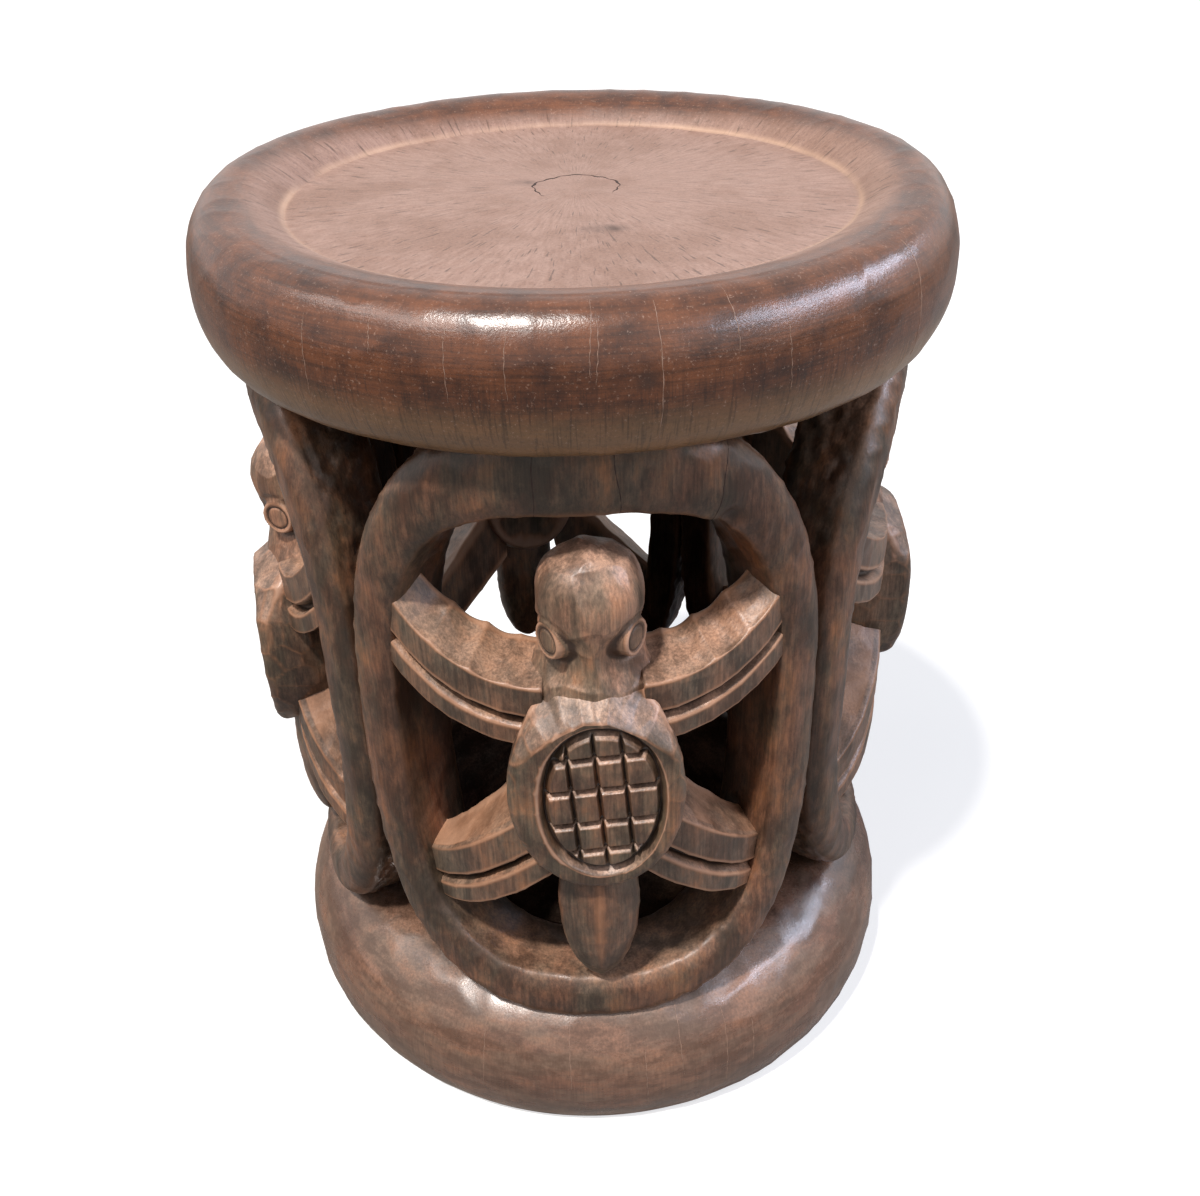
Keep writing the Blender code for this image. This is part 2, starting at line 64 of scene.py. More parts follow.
def swell(points, size, seed):
    """Slow unevenness from -1 to 1: a random number at each corner of cubes of a size, blended by 3t^2 -
    2t^3. The cubes stand askew, so that no line of them shows on an upright or level face."""
    askew = points @ np.array(((0.36, 0.48, -0.80), (-0.80, 0.60, 0.00), (0.48, 0.64, 0.60))) / size
    cell = np.floor(askew).astype(np.int64)
    share = askew - cell
    share = share * share * (3 - 2 * share)
    total = np.zeros(points.shape[:-1])
    for corner in np.ndindex(2, 2, 2):
        weight = np.where(np.array(corner) == 1, share, 1 - share).prod(axis=-1)
        total += weight * dice(cell + np.array(corner), seed)
    return 2 * total - 1


def scoops(points, size, seed):
    """Gouge marks from 0 to 1: square of (distance to the nearest of many scattered centres, one in each
    cube of a size, over the distance to the second nearest), so hollows are 0 and the ridges between two
    hollows 1."""
    scaled = points / size
    cell = np.floor(scaled).astype(np.int64)
    first = np.full(points.shape[:-1], 9.0)
    second = np.full(points.shape[:-1], 9.0)
    for step in np.ndindex(3, 3, 3):
        near = cell + np.array(step) - 1
        centre = near + np.stack([dice(near, seed + 7 * axis) for axis in range(3)], axis=-1)
        away = np.linalg.norm(scaled - centre, axis=-1)
        second = np.minimum(second, np.maximum(first, away))
        first = np.minimum(first, away)
    return (first / second) ** 2


def grid_normals(points, ring):
    """Outward unit normals of a closed grid: cross product of the steps to both neighbours across and along
    it, turned so that the enclosed volume comes out positive."""
    across = np.roll(points, -1, 1) - np.roll(points, 1, 1)
    along = np.roll(points, -1, 0) - np.roll(points, 1, 0) if ring else np.gradient(points, axis=0)
    normals = np.cross(across, along)
    normals *= np.sign((normals * points).sum())
    return normals / (np.linalg.norm(normals, axis=-1, keepdims=True) + 1e-15)


def tooled(points, ring, cut_size, cut_depth, seed, share=1.0):
    """Surface dressed by hand: each point moves along its normal by the gouge mark it lies in, and by a
    slow unevenness three marks wide. Share says how much of that each point gets."""
    scoop = scoops(points, cut_size, seed) - 0.5
    wave = 0.7 * swell(points, 3 * cut_size, seed + 1)
    return points + (share * cut_depth * (scoop + wave))[..., None] * grid_normals(points, ring)


def eased(points, passes, ring_rows=None):
    """Grid with its edges softened: each point moves, again and again, to a quarter of its two neighbours
    across and a half of itself, and likewise along it if the rows are named as a ring or as open."""
    for _ in range(passes):
        points = (2 * points + np.roll(points, 1, 1) + np.roll(points, -1, 1)) / 4
        if ring_rows is not None:
            before, after = np.roll(points, 1, 0), np.roll(points, -1, 0)
            if not ring_rows:
                before[0], after[-1] = points[0], points[-1]
            points = (2 * points + before + after) / 4
    return points


def relief(points, ring, passes, height):
    """How far each point stands out of, or lies in, the average of its surroundings, as a share of a
    height: the distance along the normal to the same grid averaged with its neighbours many times, cut to
    -1..1."""
    away = points - eased(points, passes, ring)
    return np.clip((away * grid_normals(points, ring)).sum(-1) / height, -1, 1)


def put(tree, kind, options, inputs):
    """Adds one shader node, sets its options, and sets or links its inputs."""
    node = tree.nodes.new("ShaderNode" + kind)
    for option, value in options.items():
        setattr(node, option, value)
    for socket, value in inputs.items():
        if isinstance(value, bpy.types.NodeSocket):
            tree.links.new(value, node.inputs[socket])
        else:
            node.inputs[socket].default_value = value
    return node


def grid_piece(name, material, points, ring, wear_and_shading):
    """Closed piece over a grid of points. Columns join end to end. Rows do too in a ring, and otherwise
    close on a pole, the middle of the first and of the last row. Its wear marks, which carry painted shade
    and light too, are kept for the material."""
    rows, columns = points.shape[:2]
    index = np.arange(rows * columns).reshape(rows, columns)
    beside = np.roll(index, -1, 1)
    below, diagonal = np.roll(index, -1, 0), np.roll(beside, -1, 0)
    quads = np.stack((index, beside, diagonal, below), axis=-1)
    corners, values = points.reshape(-1, 3), wear_and_shading.reshape(-1)
    if ring:
        faces = quads.reshape(-1, 4).tolist()
    else:
        corners = np.concatenate((corners, points[[0, -1]].mean(axis=1)))
        values = np.concatenate((values, wear_and_shading[[0, -1]].mean(axis=1)))
        first, last = np.full(columns, rows * columns), np.full(columns, rows * columns + 1)
        caps = np.concatenate((np.stack((first, beside[0], index[0]), axis=-1),
                               np.stack((last, index[-1], beside[-1]), axis=-1)))
        faces = quads[:-1].reshape(-1, 4).tolist() + caps.tolist()
    across = np.roll(points, -1, 1) - points
    along = np.roll(points, -1, 0) - points
    if (np.cross(across, along)[:-1] * points[:-1]).sum() < 0:
        faces = [face[::-1] for face in faces]
    mesh = bpy.data.meshes.new(name)
    mesh.from_pydata(corners.tolist(), [], faces)
    mesh.attributes.new("wear_and_shading", "FLOAT", "POINT").data.foreach_set("value", values.astype(np.float32))
    mesh.shade_smooth()
    mesh.materials.append(material)
    piece = bpy.data.objects.new(name, mesh)
    bpy.context.scene.collection.objects.link(piece)
    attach(piece, "root")
    return piece


def crack_lens(name, crack_material, points, ring, rows, columns, half_width):
    """Hairline crack laid level with the wood: a flat lens with a six-sided section, pointed at both ends
    and uneven between. It lies along places named by row and column of a piece's grid, read between the
    grid's points in proportion."""
    row, column = np.floor(rows).astype(int), np.floor(columns).astype(int)
    down, aside = (rows - row)[:, None], (columns - column)[:, None]

    def read(grid):
        low, high = row % grid.shape[0], (row + 1) % grid.shape[0]
        near, far = column % grid.shape[1], (column + 1) % grid.shape[1]
        return ((1 - down) * ((1 - aside) * grid[low, near] + aside * grid[low, far])
                + down * ((1 - aside) * grid[high, near] + aside * grid[high, far]))

    path, out = read(points), read(grid_normals(points, ring))
    flank = np.cross(out, np.gradient(path, axis=0))
    flank /= np.linalg.norm(flank, axis=-1, keepdims=True)
    turn = np.linspace(0, 2 * math.pi, 6, endpoint=False)[:, None]
    step = np.linspace(0.05, math.pi - 0.05, len(path))
    width = half_width * np.sin(step) ** 0.5 * (0.35 + 0.65 * np.sin(7.3 * step + rows[0]) ** 2)
    proud = 0.00012
    sideways = width[:, None, None] * np.cos(turn) * flank[:, None]
    lens = path[:, None] + sideways + proud * np.sin(turn) * out[:, None]
    return grid_piece(name, crack_material, lens, False, np.zeros(lens.shape[:2]))


def crack_colour(name, colour, roughness):
    """One plain colour for a crack's lens: for the pale ones the wax settled in it, for the dark ones the
    painted shade of the gap.
    """
    crack_material = bpy.data.materials.new(name)
    crack_material.use_nodes = True
    surface = crack_material.node_tree.nodes["Principled BSDF"]
    surface.inputs["Base Color"].default_value = linear(colour)
    surface.inputs["Roughness"].default_value = roughness
    return crack_material


# Distances from the log's axis over which the inside's painted shade, and its lower shine, fade out.
INSIDE_FROM, INSIDE_TO = 0.112, 0.134


def aged_hardwood(name, heart, shade, patina, rubbed, dust, hollow_dirt_and_shade, roughness, dusting,
                  tooth=0.24, polish=0.5, drawn_out=(1.0, 1.0, 0.4)):
    """Dense tropical hardwood, carved with gouges and knives, then handled and waxed for years. Brown
    heartwood with fibres up the log, grey-green patina in patches, orange-brown where rubbed, pale on
    edges, dark in hollows from dirt and painted shade, and darkened near the log's axis with painted shade."""
    wood = bpy.data.materials.new(name)
    wood.use_nodes = True
    tree = wood.node_tree
    surface = tree.nodes["Principled BSDF"]
    place = put(tree, "TexCoord", {}, {}).outputs["Object"]
    upright = put(tree, "NewGeometry", {}, {}).outputs["Normal"]
    wear_and_shading = put(tree, "Attribute", {"attribute_name": "wear_and_shading"}, {}).outputs["Fac"]

    # Fibres 1.2 mm wide and 35 mm long, coarser than the real 0.3 mm ones so that they show.
    up_log = put(tree, "Mapping", {}, {"Vector": place, "Scale": (1 / 0.0012, 1 / 0.0012, 1 / 0.035)})
    fibres = put(tree, "TexNoise", {},
                 {"Vector": up_log.outputs[0], "Scale": 1.0, "Detail": 4.0, "Roughness": 0.65})
    # Pits and specks 1.1 mm across, stains 24 mm and rubbed spots 15 mm across, drawn out along the grain,
    # and the log's own tone over 70 mm.
    specks = put(tree, "TexNoise", {},
                 {"Vector": place, "Scale": 1 / 0.0011, "Detail": 3.0, "Roughness": 0.7})
    patches = put(tree, "Mapping", {}, {"Vector": place, "Scale": drawn_out}).outputs[0]
    stains = put(tree, "TexNoise", {},
                 {"Vector": patches, "Scale": 1 / 0.024, "Detail": 9.0, "Roughness": 0.7})
    rubs = put(tree, "TexNoise", {"noise_dimensions": "4D"},
               {"Vector": patches, "W": 3.7, "Scale": 1 / 0.015, "Detail": 9.0, "Roughness": 0.72})
    tones = put(tree, "TexNoise", {"noise_dimensions": "4D"},
                {"Vector": place, "W": 8.1, "Scale": 1 / 0.070, "Detail": 3.0})

    tone = put(tree, "MapRange", {}, {"Value": tones.outputs[0], "From Min": 0.35, "From Max": 0.65})
    colour = put(tree, "Mix", {"data_type": "RGBA"}, {0: tone.outputs[0], 6: linear(heart), 7: linear(shade)})
    green = put(tree, "MapRange", {"interpolation_type": "SMOOTHSTEP"},
                {"Value": stains.outputs[0], "From Min": 0.38, "From Max": 0.64, "To Max": 0.9})
    colour = put(tree, "Mix", {"data_type": "RGBA"},
                 {0: green.outputs[0], 6: colour.outputs[2], 7: linear(patina)})
    orange = put(tree, "MapRange", {"interpolation_type": "SMOOTHSTEP"},
                 {"Value": rubs.outputs[0], "From Min": 0.50, "From Max": 0.76, "To Max": 0.7})
    colour = put(tree, "Mix", {"data_type": "RGBA"},
                 {0: orange.outputs[0], 6: colour.outputs[2], 7: linear(rubbed)})

    height = put(tree, "SeparateXYZ", {}, {0: upright}).outputs[2]
    ledge = put(tree, "MapRange", {"interpolation_type": "SMOOTHSTEP"},
                {"Value": height, "From Min": 0.25, "From Max": 0.95, "To Max": dusting})
    colour = put(tree, "Mix", {"data_type": "RGBA"},
                 {0: ledge.outputs[0], 6: colour.outputs[2], 7: linear(dust)})

    streak = put(tree, "MapRange", {},
                 {"Value": fibres.outputs[0], "From Min": 0.36, "From Max": 0.64,
                  "To Min": 0.68, "To Max": 1.24})
    colour = put(tree, "VectorMath", {"operation": "SCALE"},
                 {0: colour.outputs[2], "Scale": streak.outputs[0]})
    speck = put(tree, "MapRange", {},
                {"Value": specks.outputs[0], "From Min": 0.34, "From Max": 0.50,
                 "To Min": 0.88, "To Max": 1.02})
    colour = put(tree, "VectorMath", {"operation": "SCALE"},
                 {0: colour.outputs[0], "Scale": speck.outputs[0]})

    grime = put(tree, "MapRange", {"interpolation_type": "SMOOTHSTEP"},
                {"Value": rubs.outputs[0], "From Min": 0.40, "From Max": 0.57,
                 "To Min": 0.42, "To Max": 1.05})
    colour = put(tree, "VectorMath", {"operation": "SCALE"},
                 {0: colour.outputs[0], "Scale": grime.outputs[0]})

    # On the lower flippers' tops the wear mark is raised, so these pale and orange mixes are painted light
    # there.
    handled = put(tree, "MapRange", {"interpolation_type": "SMOOTHSTEP"},
                  {"Value": wear_and_shading, "From Min": 0.20, "From Max": 0.65, "To Max": 0.45})
    colour = put(tree, "Mix", {"data_type": "RGBA"},
                 {0: handled.outputs[0], 6: colour.outputs[0], 7: linear(rubbed)})
    edge = put(tree, "MapRange", {"interpolation_type": "SMOOTHSTEP"},
               {"Value": wear_and_shading, "From Min": 0.35, "From Max": 0.95, "To Max": 0.5})
    colour = put(tree, "Mix", {"data_type": "RGBA"},
                 {0: edge.outputs[0], 6: colour.outputs[2], 7: linear(dust)})
    # Hollows, where the relief is concave, darken towards the hollow colour: dirt, and painted shade.
    dirt_and_shade_share = put(tree, "MapRange", {"interpolation_type": "SMOOTHSTEP"},
                 {"Value": wear_and_shading, "From Min": -0.08, "From Max": -0.6, "To Max": 0.92})
    colour = put(tree, "Mix", {"data_type": "RGBA"},
                 {0: dirt_and_shade_share.outputs[0], 6: colour.outputs[2], 7: linear(hollow_dirt_and_shade)})
    # Painted shade: wood nearer to the log's axis, inside the stool, is darkened to about a fifth of its
    # colour.
    flat = put(tree, "VectorMath", {"operation": "MULTIPLY"}, {0: place, 1: (1, 1, 0)})
    axis_away = put(tree, "VectorMath", {"operation": "LENGTH"}, {0: flat.outputs[0]}).outputs["Value"]
    inside = put(tree, "MapRange", {"interpolation_type": "SMOOTHSTEP"},
                 {"Value": axis_away, "From Min": INSIDE_FROM, "From Max": INSIDE_TO,
                  "To Min": 0.22, "To Max": 1.0})
    colour = put(tree, "VectorMath", {"operation": "SCALE"},
                 {0: colour.outputs[2], "Scale": inside.outputs[0]})
    tree.links.new(colour.outputs[0], surface.inputs["Base Color"])

    sheen = put(tree, "MapRange", {"interpolation_type": "SMOOTHSTEP"},
                {"Value": axis_away, "From Min": INSIDE_FROM, "From Max": INSIDE_TO, "To Max": polish})
    tree.links.new(sheen.outputs[0], surface.inputs["Specular IOR Level"])
    gloss = put(tree, "MapRange", {},
                {"Value": stains.outputs[0], "From Min": 0.35, "From Max": 0.65,
                 "To Min": roughness - 0.07, "To Max": roughness + 0.12})
    tree.links.new(gloss.outputs[0], surface.inputs["Roughness"])
    grit = put(tree, "Math", {"operation": "MULTIPLY_ADD"},
               {0: specks.outputs[0], 1: 0.6, 2: fibres.outputs[0]})
    bump = put(tree, "Bump", {}, {"Height": grit.outputs[0], "Strength": tooth, "Distance": 0.0005})
    tree.links.new(bump.outputs[0], surface.inputs["Normal"])
    return wood


BASE_CENTRE_RADIUS = 0.1215
BASE_REACH = 0.0475
BASE_BULGE_HEIGHT = 0.030
BASE_RISE = 0.048
BASE_POWER = 2.2
BASE_FLAT_STEPS = 12
BASE_OUTER_STEPS = 60


def powered(wave, power):
    """Sine or cosine as a squared ellipse of a power has it: its size to the power 2/p, with its sign."""
    return np.sign(wave) * np.abs(wave) ** (2 / power)


def base_grid(around, rise_steps, flat_steps):
    """Profile turned about the log's axis: a flat foot, a roll that is a squared ellipse of power 2.2 from
    the floor outside over the top, and a flat floor inside at the height of the bulge."""
    floor_turn = math.asin((BASE_BULGE_HEIGHT / BASE_RISE) ** (BASE_POWER / 2))
    turn = np.linspace(-floor_turn, math.pi, rise_steps)
    radius = BASE_CENTRE_RADIUS + BASE_REACH * powered(np.cos(turn), BASE_POWER)
    height = BASE_BULGE_HEIGHT + BASE_RISE * powered(np.sin(turn), BASE_POWER)
    foot = np.linspace(0.01, radius[0], flat_steps, endpoint=False)
    inside = np.linspace(radius[-1], 0.01, flat_steps + 1)[1:]
    radius = np.concatenate((foot, radius, inside))[:, None]
    height = np.concatenate((0 * foot, height, height[-1] + 0 * inside))[:, None]
    angle = np.linspace(0, 2 * math.pi, around, endpoint=False)
    return np.stack(np.broadcast_arrays(radius * np.sin(angle), -radius * np.cos(angle), height), axis=-1)


base_wood = aged_hardwood("waxed_hardwood_base", heart="#876653", shade="#553a30", patina="#65564a",
                          rubbed="#8d6248", dust="#a08778", hollow_dirt_and_shade="#3a281f", roughness=0.27, dusting=0.05,
                          tooth=0.16, polish=0.7, drawn_out=(0.6, 0.6, 1.8))
base_points = base_grid(around=360, rise_steps=90, flat_steps=BASE_FLAT_STEPS)
base_wear_and_shading = relief(base_points, False, 10, 0.0008)
off_floor = np.clip(base_points[..., 2] / 0.006, 0, 1)
base_points = tooled(base_points, False, 0.024, 0.0007, 11, off_floor)
base_points[..., 2] = np.maximum(base_points[..., 2], 0)
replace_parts(grid_piece("wood_base_ring", base_wood, base_points, False, base_wear_and_shading), "base_ring")

# Wax in the seasoning cracks, pale against the wood. Each crack has its angle round the log in degrees,
# which is also its column of the grid, and its lower and upper end.
crack_wax = crack_colour("pale_wax", "#8a6f5f", 0.45)
BASE_CRACKS = ((-21.0, 0.024, 0.066), (-5.3, 0.030, 0.073), (8.1, 0.014, 0.058), (14.6, 0.034, 0.074),
               (23.0, 0.018, 0.066), (28.3, 0.026, 0.060), (-33.0, 0.020, 0.050))
for number, (azimuth, low, high) in enumerate(BASE_CRACKS):
    step = np.linspace(0, 1, 40)
    outer_rows = BASE_FLAT_STEPS + np.arange(BASE_OUTER_STEPS)
    rows = np.interp(low + (high - low) * step, base_points[outer_rows, 0, 2], outer_rows)
    wander = 0.20 * np.sin(4 * step + number) + 0.06 * np.sin(31 * step + 2 * number)
    crack_lens("wax_base_%d" % number, crack_wax, base_points, False, rows, azimuth + wander, 0.00025)


# OVAL FRAMES
# Four curved oval frames, one on each quarter of the log, cut free from one another by deep grooves. Each
# was pierced right through with chisels, then rounded over in front. They carry the seat and hold the
# turtles.

SIDES = {"front": (0.0, 44.5), "right": (97.0, 52.5), "back": (195.0, 45.5), "left": (278.0, 37.5)}
TURTLE_TURNS = {"front": 0.8, "right": 97.0, "back": 195.0, "left": 278.0}
FRAME_FRONT = 0.155
FRAME_BACK = 0.115
OUTER_EDGE_DROP = 0.0075
INNER_EDGE_DROP = 0.0050
FRAME_OVAL = {"bottom": 0.066, "top": 0.396, "foot_power": 2.8, "crown_power": 2.4}
OPENING_OVAL = {"bottom": 0.095, "top": 0.354, "foot_power": 3.0, "crown_power": 3.0}
LIMB_FRONT_WIDTH = 0.026
LIMB_BACK_WIDTH = 0.020
SEAT_JOIN = 0.3845
SIDE_COLUMNS, FRONT_COLUMNS, WALL_COLUMNS, BACK_COLUMNS = 18, 32, 22, 14


def oval(turn, half_width, bottom, top, foot_power, crown_power):
    """Squared ellipse: the side reach is the half width times |cos|^(2/p) and the rise is the half height
    times |sin|^(2/p), with their signs, where p is one power above the middle and another below."""
    power = np.where(np.sin(turn) > 0, crown_power, foot_power)
    height = (bottom + top) / 2 + (top - bottom) / 2 * powered(np.sin(turn), power)
    return half_width * powered(np.cos(turn), power), height


def around_log(angle, radius, height):
    """Points at an angle from the front, a distance from the log's axis, and a height."""
    angle, radius, height = np.broadcast_arrays(angle, radius, height)
    return np.stack((radius * np.sin(angle), -radius * np.cos(angle), height), axis=-1)


def frame_grid(centre, half_sector, stations):
    """Bar carried round an oval: from the back out along its side, over a front that falls away by a cube
    to both edges, in along the wall of the opening, and home across the back."""
    turn = np.linspace(0, 2 * math.pi, stations, endpoint=False)[:, None]
    side, side_z = oval(turn, half_sector, **FRAME_OVAL)
    lip, lip_z = oval(turn, half_sector - LIMB_FRONT_WIDTH / FRAME_FRONT, **OPENING_OVAL)
    wall, wall_z = oval(turn, half_sector - LIMB_BACK_WIDTH / FRAME_BACK, **OPENING_OVAL)
    edge = FRAME_FRONT - OUTER_EDGE_DROP
    brink = FRAME_FRONT - INNER_EDGE_DROP
    out = np.linspace(0, 1, SIDE_COLUMNS, endpoint=False)
    over = np.linspace(0, 1, FRONT_COLUMNS, endpoint=False)
    inward = np.linspace(0, 1, WALL_COLUMNS, endpoint=False)
    home = np.linspace(0, 1, BACK_COLUMNS, endpoint=False)
    front = FRAME_FRONT - np.where(over < 0.5, OUTER_EDGE_DROP, INNER_EDGE_DROP) * np.abs(2 * over - 1) ** 3
    points = np.concatenate((
        around_log(centre + side, FRAME_BACK + (edge - FRAME_BACK) * out, side_z),
        around_log(centre + side + (lip - side) * over, front, side_z + (lip_z - side_z) * over),
        around_log(centre + lip + (wall - lip) * inward, brink + (FRAME_BACK - brink) * inward,
                   lip_z + (wall_z - lip_z) * inward),
        around_log(centre + wall + (side - wall) * home, FRAME_BACK,
                   wall_z + (side_z - wall_z) * home)), axis=1)
    return eased(points, 3)


frame_wood = aged_hardwood("carved_hardwood_frames", heart="#7d5642", shade="#573b2b", patina="#4f4437",
                           rubbed="#9d6842", dust="#b08a70", hollow_dirt_and_shade="#2c1c14", roughness=0.36, dusting=0.3)
# Painted shade in the hairline cracks that run across the front frame's top bar, dull and black against
# the wood. The cracks are named by their angles round the log in degrees. The notch is where a chip broke
# out of the bar's lower edge.
crack_shade = crack_colour("painted_crack_shade", "#2b1a13", 0.8)
BAR_CRACKS = (-6.8, 5.0, 20.9)
NOTCH = around_log(math.radians(23.0), 0.150, 0.3486)
NOTCH_REACH = 0.0055
NOTCH_DEPTH = 0.0045
for number, (side, (centre, half_sector)) in enumerate(SIDES.items()):
    points = frame_grid(math.radians(centre), math.radians(half_sector), stations=400)
    wear_and_shading = relief(points, True, 8, 0.0008)
    wear_and_shading = np.where(wear_and_shading > 0, 0.5 * wear_and_shading, wear_and_shading)
    points = tooled(points, True, 0.015, 0.0007, 100 + 10 * number)
    # The grooves between two frames were left rough from the gouge.
    flanks = np.zeros(points.shape[:2])
    flanks[:, :SIDE_COLUMNS - 2] = 1
    points = tooled(points, True, 0.008, 0.0017, 107 + 10 * number, flanks)
    points[..., 2] = np.minimum(points[..., 2], SEAT_JOIN)
    if side == "front":
        chip = np.exp(-(np.linalg.norm(points - NOTCH, axis=-1) / NOTCH_REACH) ** 2)
        points = points - NOTCH_DEPTH * chip[..., None] * grid_normals(points, True)
        # The notch's colour darkens with it as the hollows do: painted shade in the chip.
        wear_and_shading = np.clip(wear_and_shading - 1.1 * chip, -1, 1)
        bar_rows = np.arange(50, 150)
        bar_middle = points[bar_rows, SIDE_COLUMNS + FRONT_COLUMNS // 2]
        azimuth = np.degrees(np.arctan2(bar_middle[:, 0], -bar_middle[:, 1]))
        for mark in BAR_CRACKS:
            columns = np.linspace(SIDE_COLUMNS + 1, SIDE_COLUMNS + FRONT_COLUMNS + 2, 40)
            rows = np.interp(-mark, -azimuth, bar_rows) + 0.25 * np.sin(columns / 4)
            crack_lens("dirt_bar_%d" % (mark + 60), crack_shade, points, True, rows, columns, 0.0003)
    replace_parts(grid_piece("wood_oval_frame_" + side, frame_wood, points, True, wear_and_shading),
                "oval_frame_" + side)


# TURTLE TAILS
# A leaf-shaped tail below each shell, with a ridge down its front that hands have rubbed orange. Cut with
# the knife from the same block as the shell.

SHELL_BOTTOM = 0.172
TAIL_LENGTH = 0.071
TAIL_WIDTH = 0.038
TAIL_THICKNESS = 0.024
TAIL_AXIS = 0.151


def placed(points, centre):
    """Points of a piece drawn facing the front, turned about the log's axis to face another way."""
    sine, cosine = math.sin(centre), math.cos(centre)
    x, y, z = points[..., 0], points[..., 1], points[..., 2]
    return np.stack((x * cosine - y * sine, x * sine + y * cosine, z), axis=-1)


def tail_grid(rows, columns):
    """Leaf: its half width is full to a quarter of the length, then falls to the tip as the root of 1 -
    t^2.2. Its section is flat sides that meet in a front ridge and a rounded back, in proportion to the
    width there."""
    along = 1.35 * np.sin(np.linspace(0, math.pi / 2, rows))[:, None] - 0.35
    to_tip = np.clip((along - 0.25) / 0.76, 0, 1)
    share = np.sqrt(1 - to_tip ** 2.2) * (1 - 0.35 * (0.25 - along).clip(0))
    turn = np.linspace(0, 2 * math.pi, columns, endpoint=False)
    sine, cosine = np.sin(turn), np.cos(turn)
    front = np.where(cosine > 0, 0.55 * cosine + 0.45 * np.maximum(0, 1 - np.abs(sine)), 0.9 * cosine)
    across = share * TAIL_WIDTH / 2 * np.sign(sine) * np.abs(sine) ** 0.85
    out = TAIL_AXIS + share * TAIL_THICKNESS / 2 * front
    height = SHELL_BOTTOM - along * TAIL_LENGTH
    return eased(np.stack(np.broadcast_arrays(across, -out, height), axis=-1), 1, False)


tail_wood = aged_hardwood("carved_hardwood_tails", heart="#7d5c49", shade="#614636", patina="#5f5446",
                          rubbed="#a86e48", dust="#bb9377", hollow_dirt_and_shade="#2c1c14", roughness=0.36, dusting=0.35)
for number, (side, centre) in enumerate(TURTLE_TURNS.items()):
    points = placed(tail_grid(70, 80), math.radians(centre))
    wear_and_shading = relief(points, False, 3, 0.0005)
    points = tooled(points, False, 0.012, 0.0005, 200 + 10 * number)
    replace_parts(grid_piece("wood_turtle_tail_" + side, tail_wood, points, False, wear_and_shading),
                "turtle_tail_" + side)


# TURTLE SHELLS
# A thick oval shell in the middle of each frame, its face a flat rim round a sunk field that is gouged into
# rows of tiles. The shoulder above the rim was taken down in broad chisel chips.

SHELL_TOP = 0.280
SHELL_HALF_WIDTH = 0.0385
SHELL_FRONT = 0.1675
SHELL_BACK = 0.122
SHELL_EDGE = 0.004
SHOULDER_CHIP = 0.009
FIELD_CENTRE = (0.0025, 0.2225)
FIELD_HALF_WIDTH = 0.0275
FIELD_HALF_HEIGHT = 0.0420
BORDER_WIDTH = 0.0042
BORDER_DEPTH = 0.0050
GROOVE_DEPTH = 0.0050
UPRIGHT_GROOVES = (-0.0130, -0.0012, 0.0108)
LEVEL_GROOVES = (0.0255, 0.0085, -0.0100, -0.0262)
TILE_TILT = 0.085
FIELD_RINGS = 76


def shell_grid(columns):
    """Rings of one squared oval: a flat back, sides that swell to the waist, an edge that turns over into
    the flat rim, and rings that shrink to the middle of the field. At the shoulder the edge is a broad
    straight slope, and the oval runs in straight chords, so that it falls into flat chips."""
    turn = np.linspace(0, 2 * math.pi, columns, endpoint=False)
    shoulder = np.clip((np.sin(turn) - 0.35) / 0.5, 0, 1) ** 1.3
    edge = SHELL_EDGE + SHOULDER_CHIP * shoulder
    fall = 0.005 + 0.013 * shoulder
    tuck, stoop = 0.012, 0.014
    chips = np.array((26, 45, 63, 80, 100, 117, 135, 154)) * columns // 360
    chipped = (turn >= turn[chips[0]]) & (turn <= turn[chips[-1]])

    def ring(shrink, out, slump=0.0):
        across, height = oval(turn, SHELL_HALF_WIDTH - shrink, SHELL_BOTTOM + shrink,
                              SHELL_TOP - shrink - slump, 2.1, 2.1)
        across = np.where(chipped, np.interp(turn, turn[chips], across[chips]), across)
        height = np.where(chipped, np.interp(turn, turn[chips], height[chips]), height)
        return np.stack(np.broadcast_arrays(across, -out, height), axis=-1)

    middle = np.array((0, -SHELL_BACK, (SHELL_BOTTOM + SHELL_TOP) / 2))
    back = [middle + (ring(tuck, SHELL_BACK, stoop) - middle) * share for share in np.linspace(0.12, 0.95, 7)]
    flank = [ring(tuck * (1 - share) ** 2, SHELL_BACK + (SHELL_FRONT - fall - SHELL_BACK) * share,
                  stoop * (1 - share)) for share in np.linspace(0, 1, 24)]
    lip = []
    for share in np.linspace(0, math.pi / 2, 14)[1:]:
        flat = 2 * share / math.pi
        inset = (1 - shoulder) * (1 - math.cos(share)) + shoulder * flat
        rise = (1 - shoulder) * math.sin(share) + shoulder * flat
        lip.append(ring(edge * inset, SHELL_FRONT - fall * (1 - rise)))
    across, height = oval(turn, FIELD_HALF_WIDTH, FIELD_CENTRE[1] - FIELD_HALF_HEIGHT,
                          FIELD_CENTRE[1] + FIELD_HALF_HEIGHT, 2.1, 2.2)
    field = np.stack(np.broadcast_arrays(across + FIELD_CENTRE[0], -SHELL_FRONT, height), axis=-1)
    rim = [lip[-1] + (field - lip[-1]) * share for share in np.linspace(0, 1, 11)[1:]]
    heart = np.array((FIELD_CENTRE[0], -SHELL_FRONT, FIELD_CENTRE[1]))
    inside = [heart + (field - heart) * share for share in np.linspace(1, 0.01, FIELD_RINGS)[1:]]
    return np.stack(back + flank + lip + rim + inside)


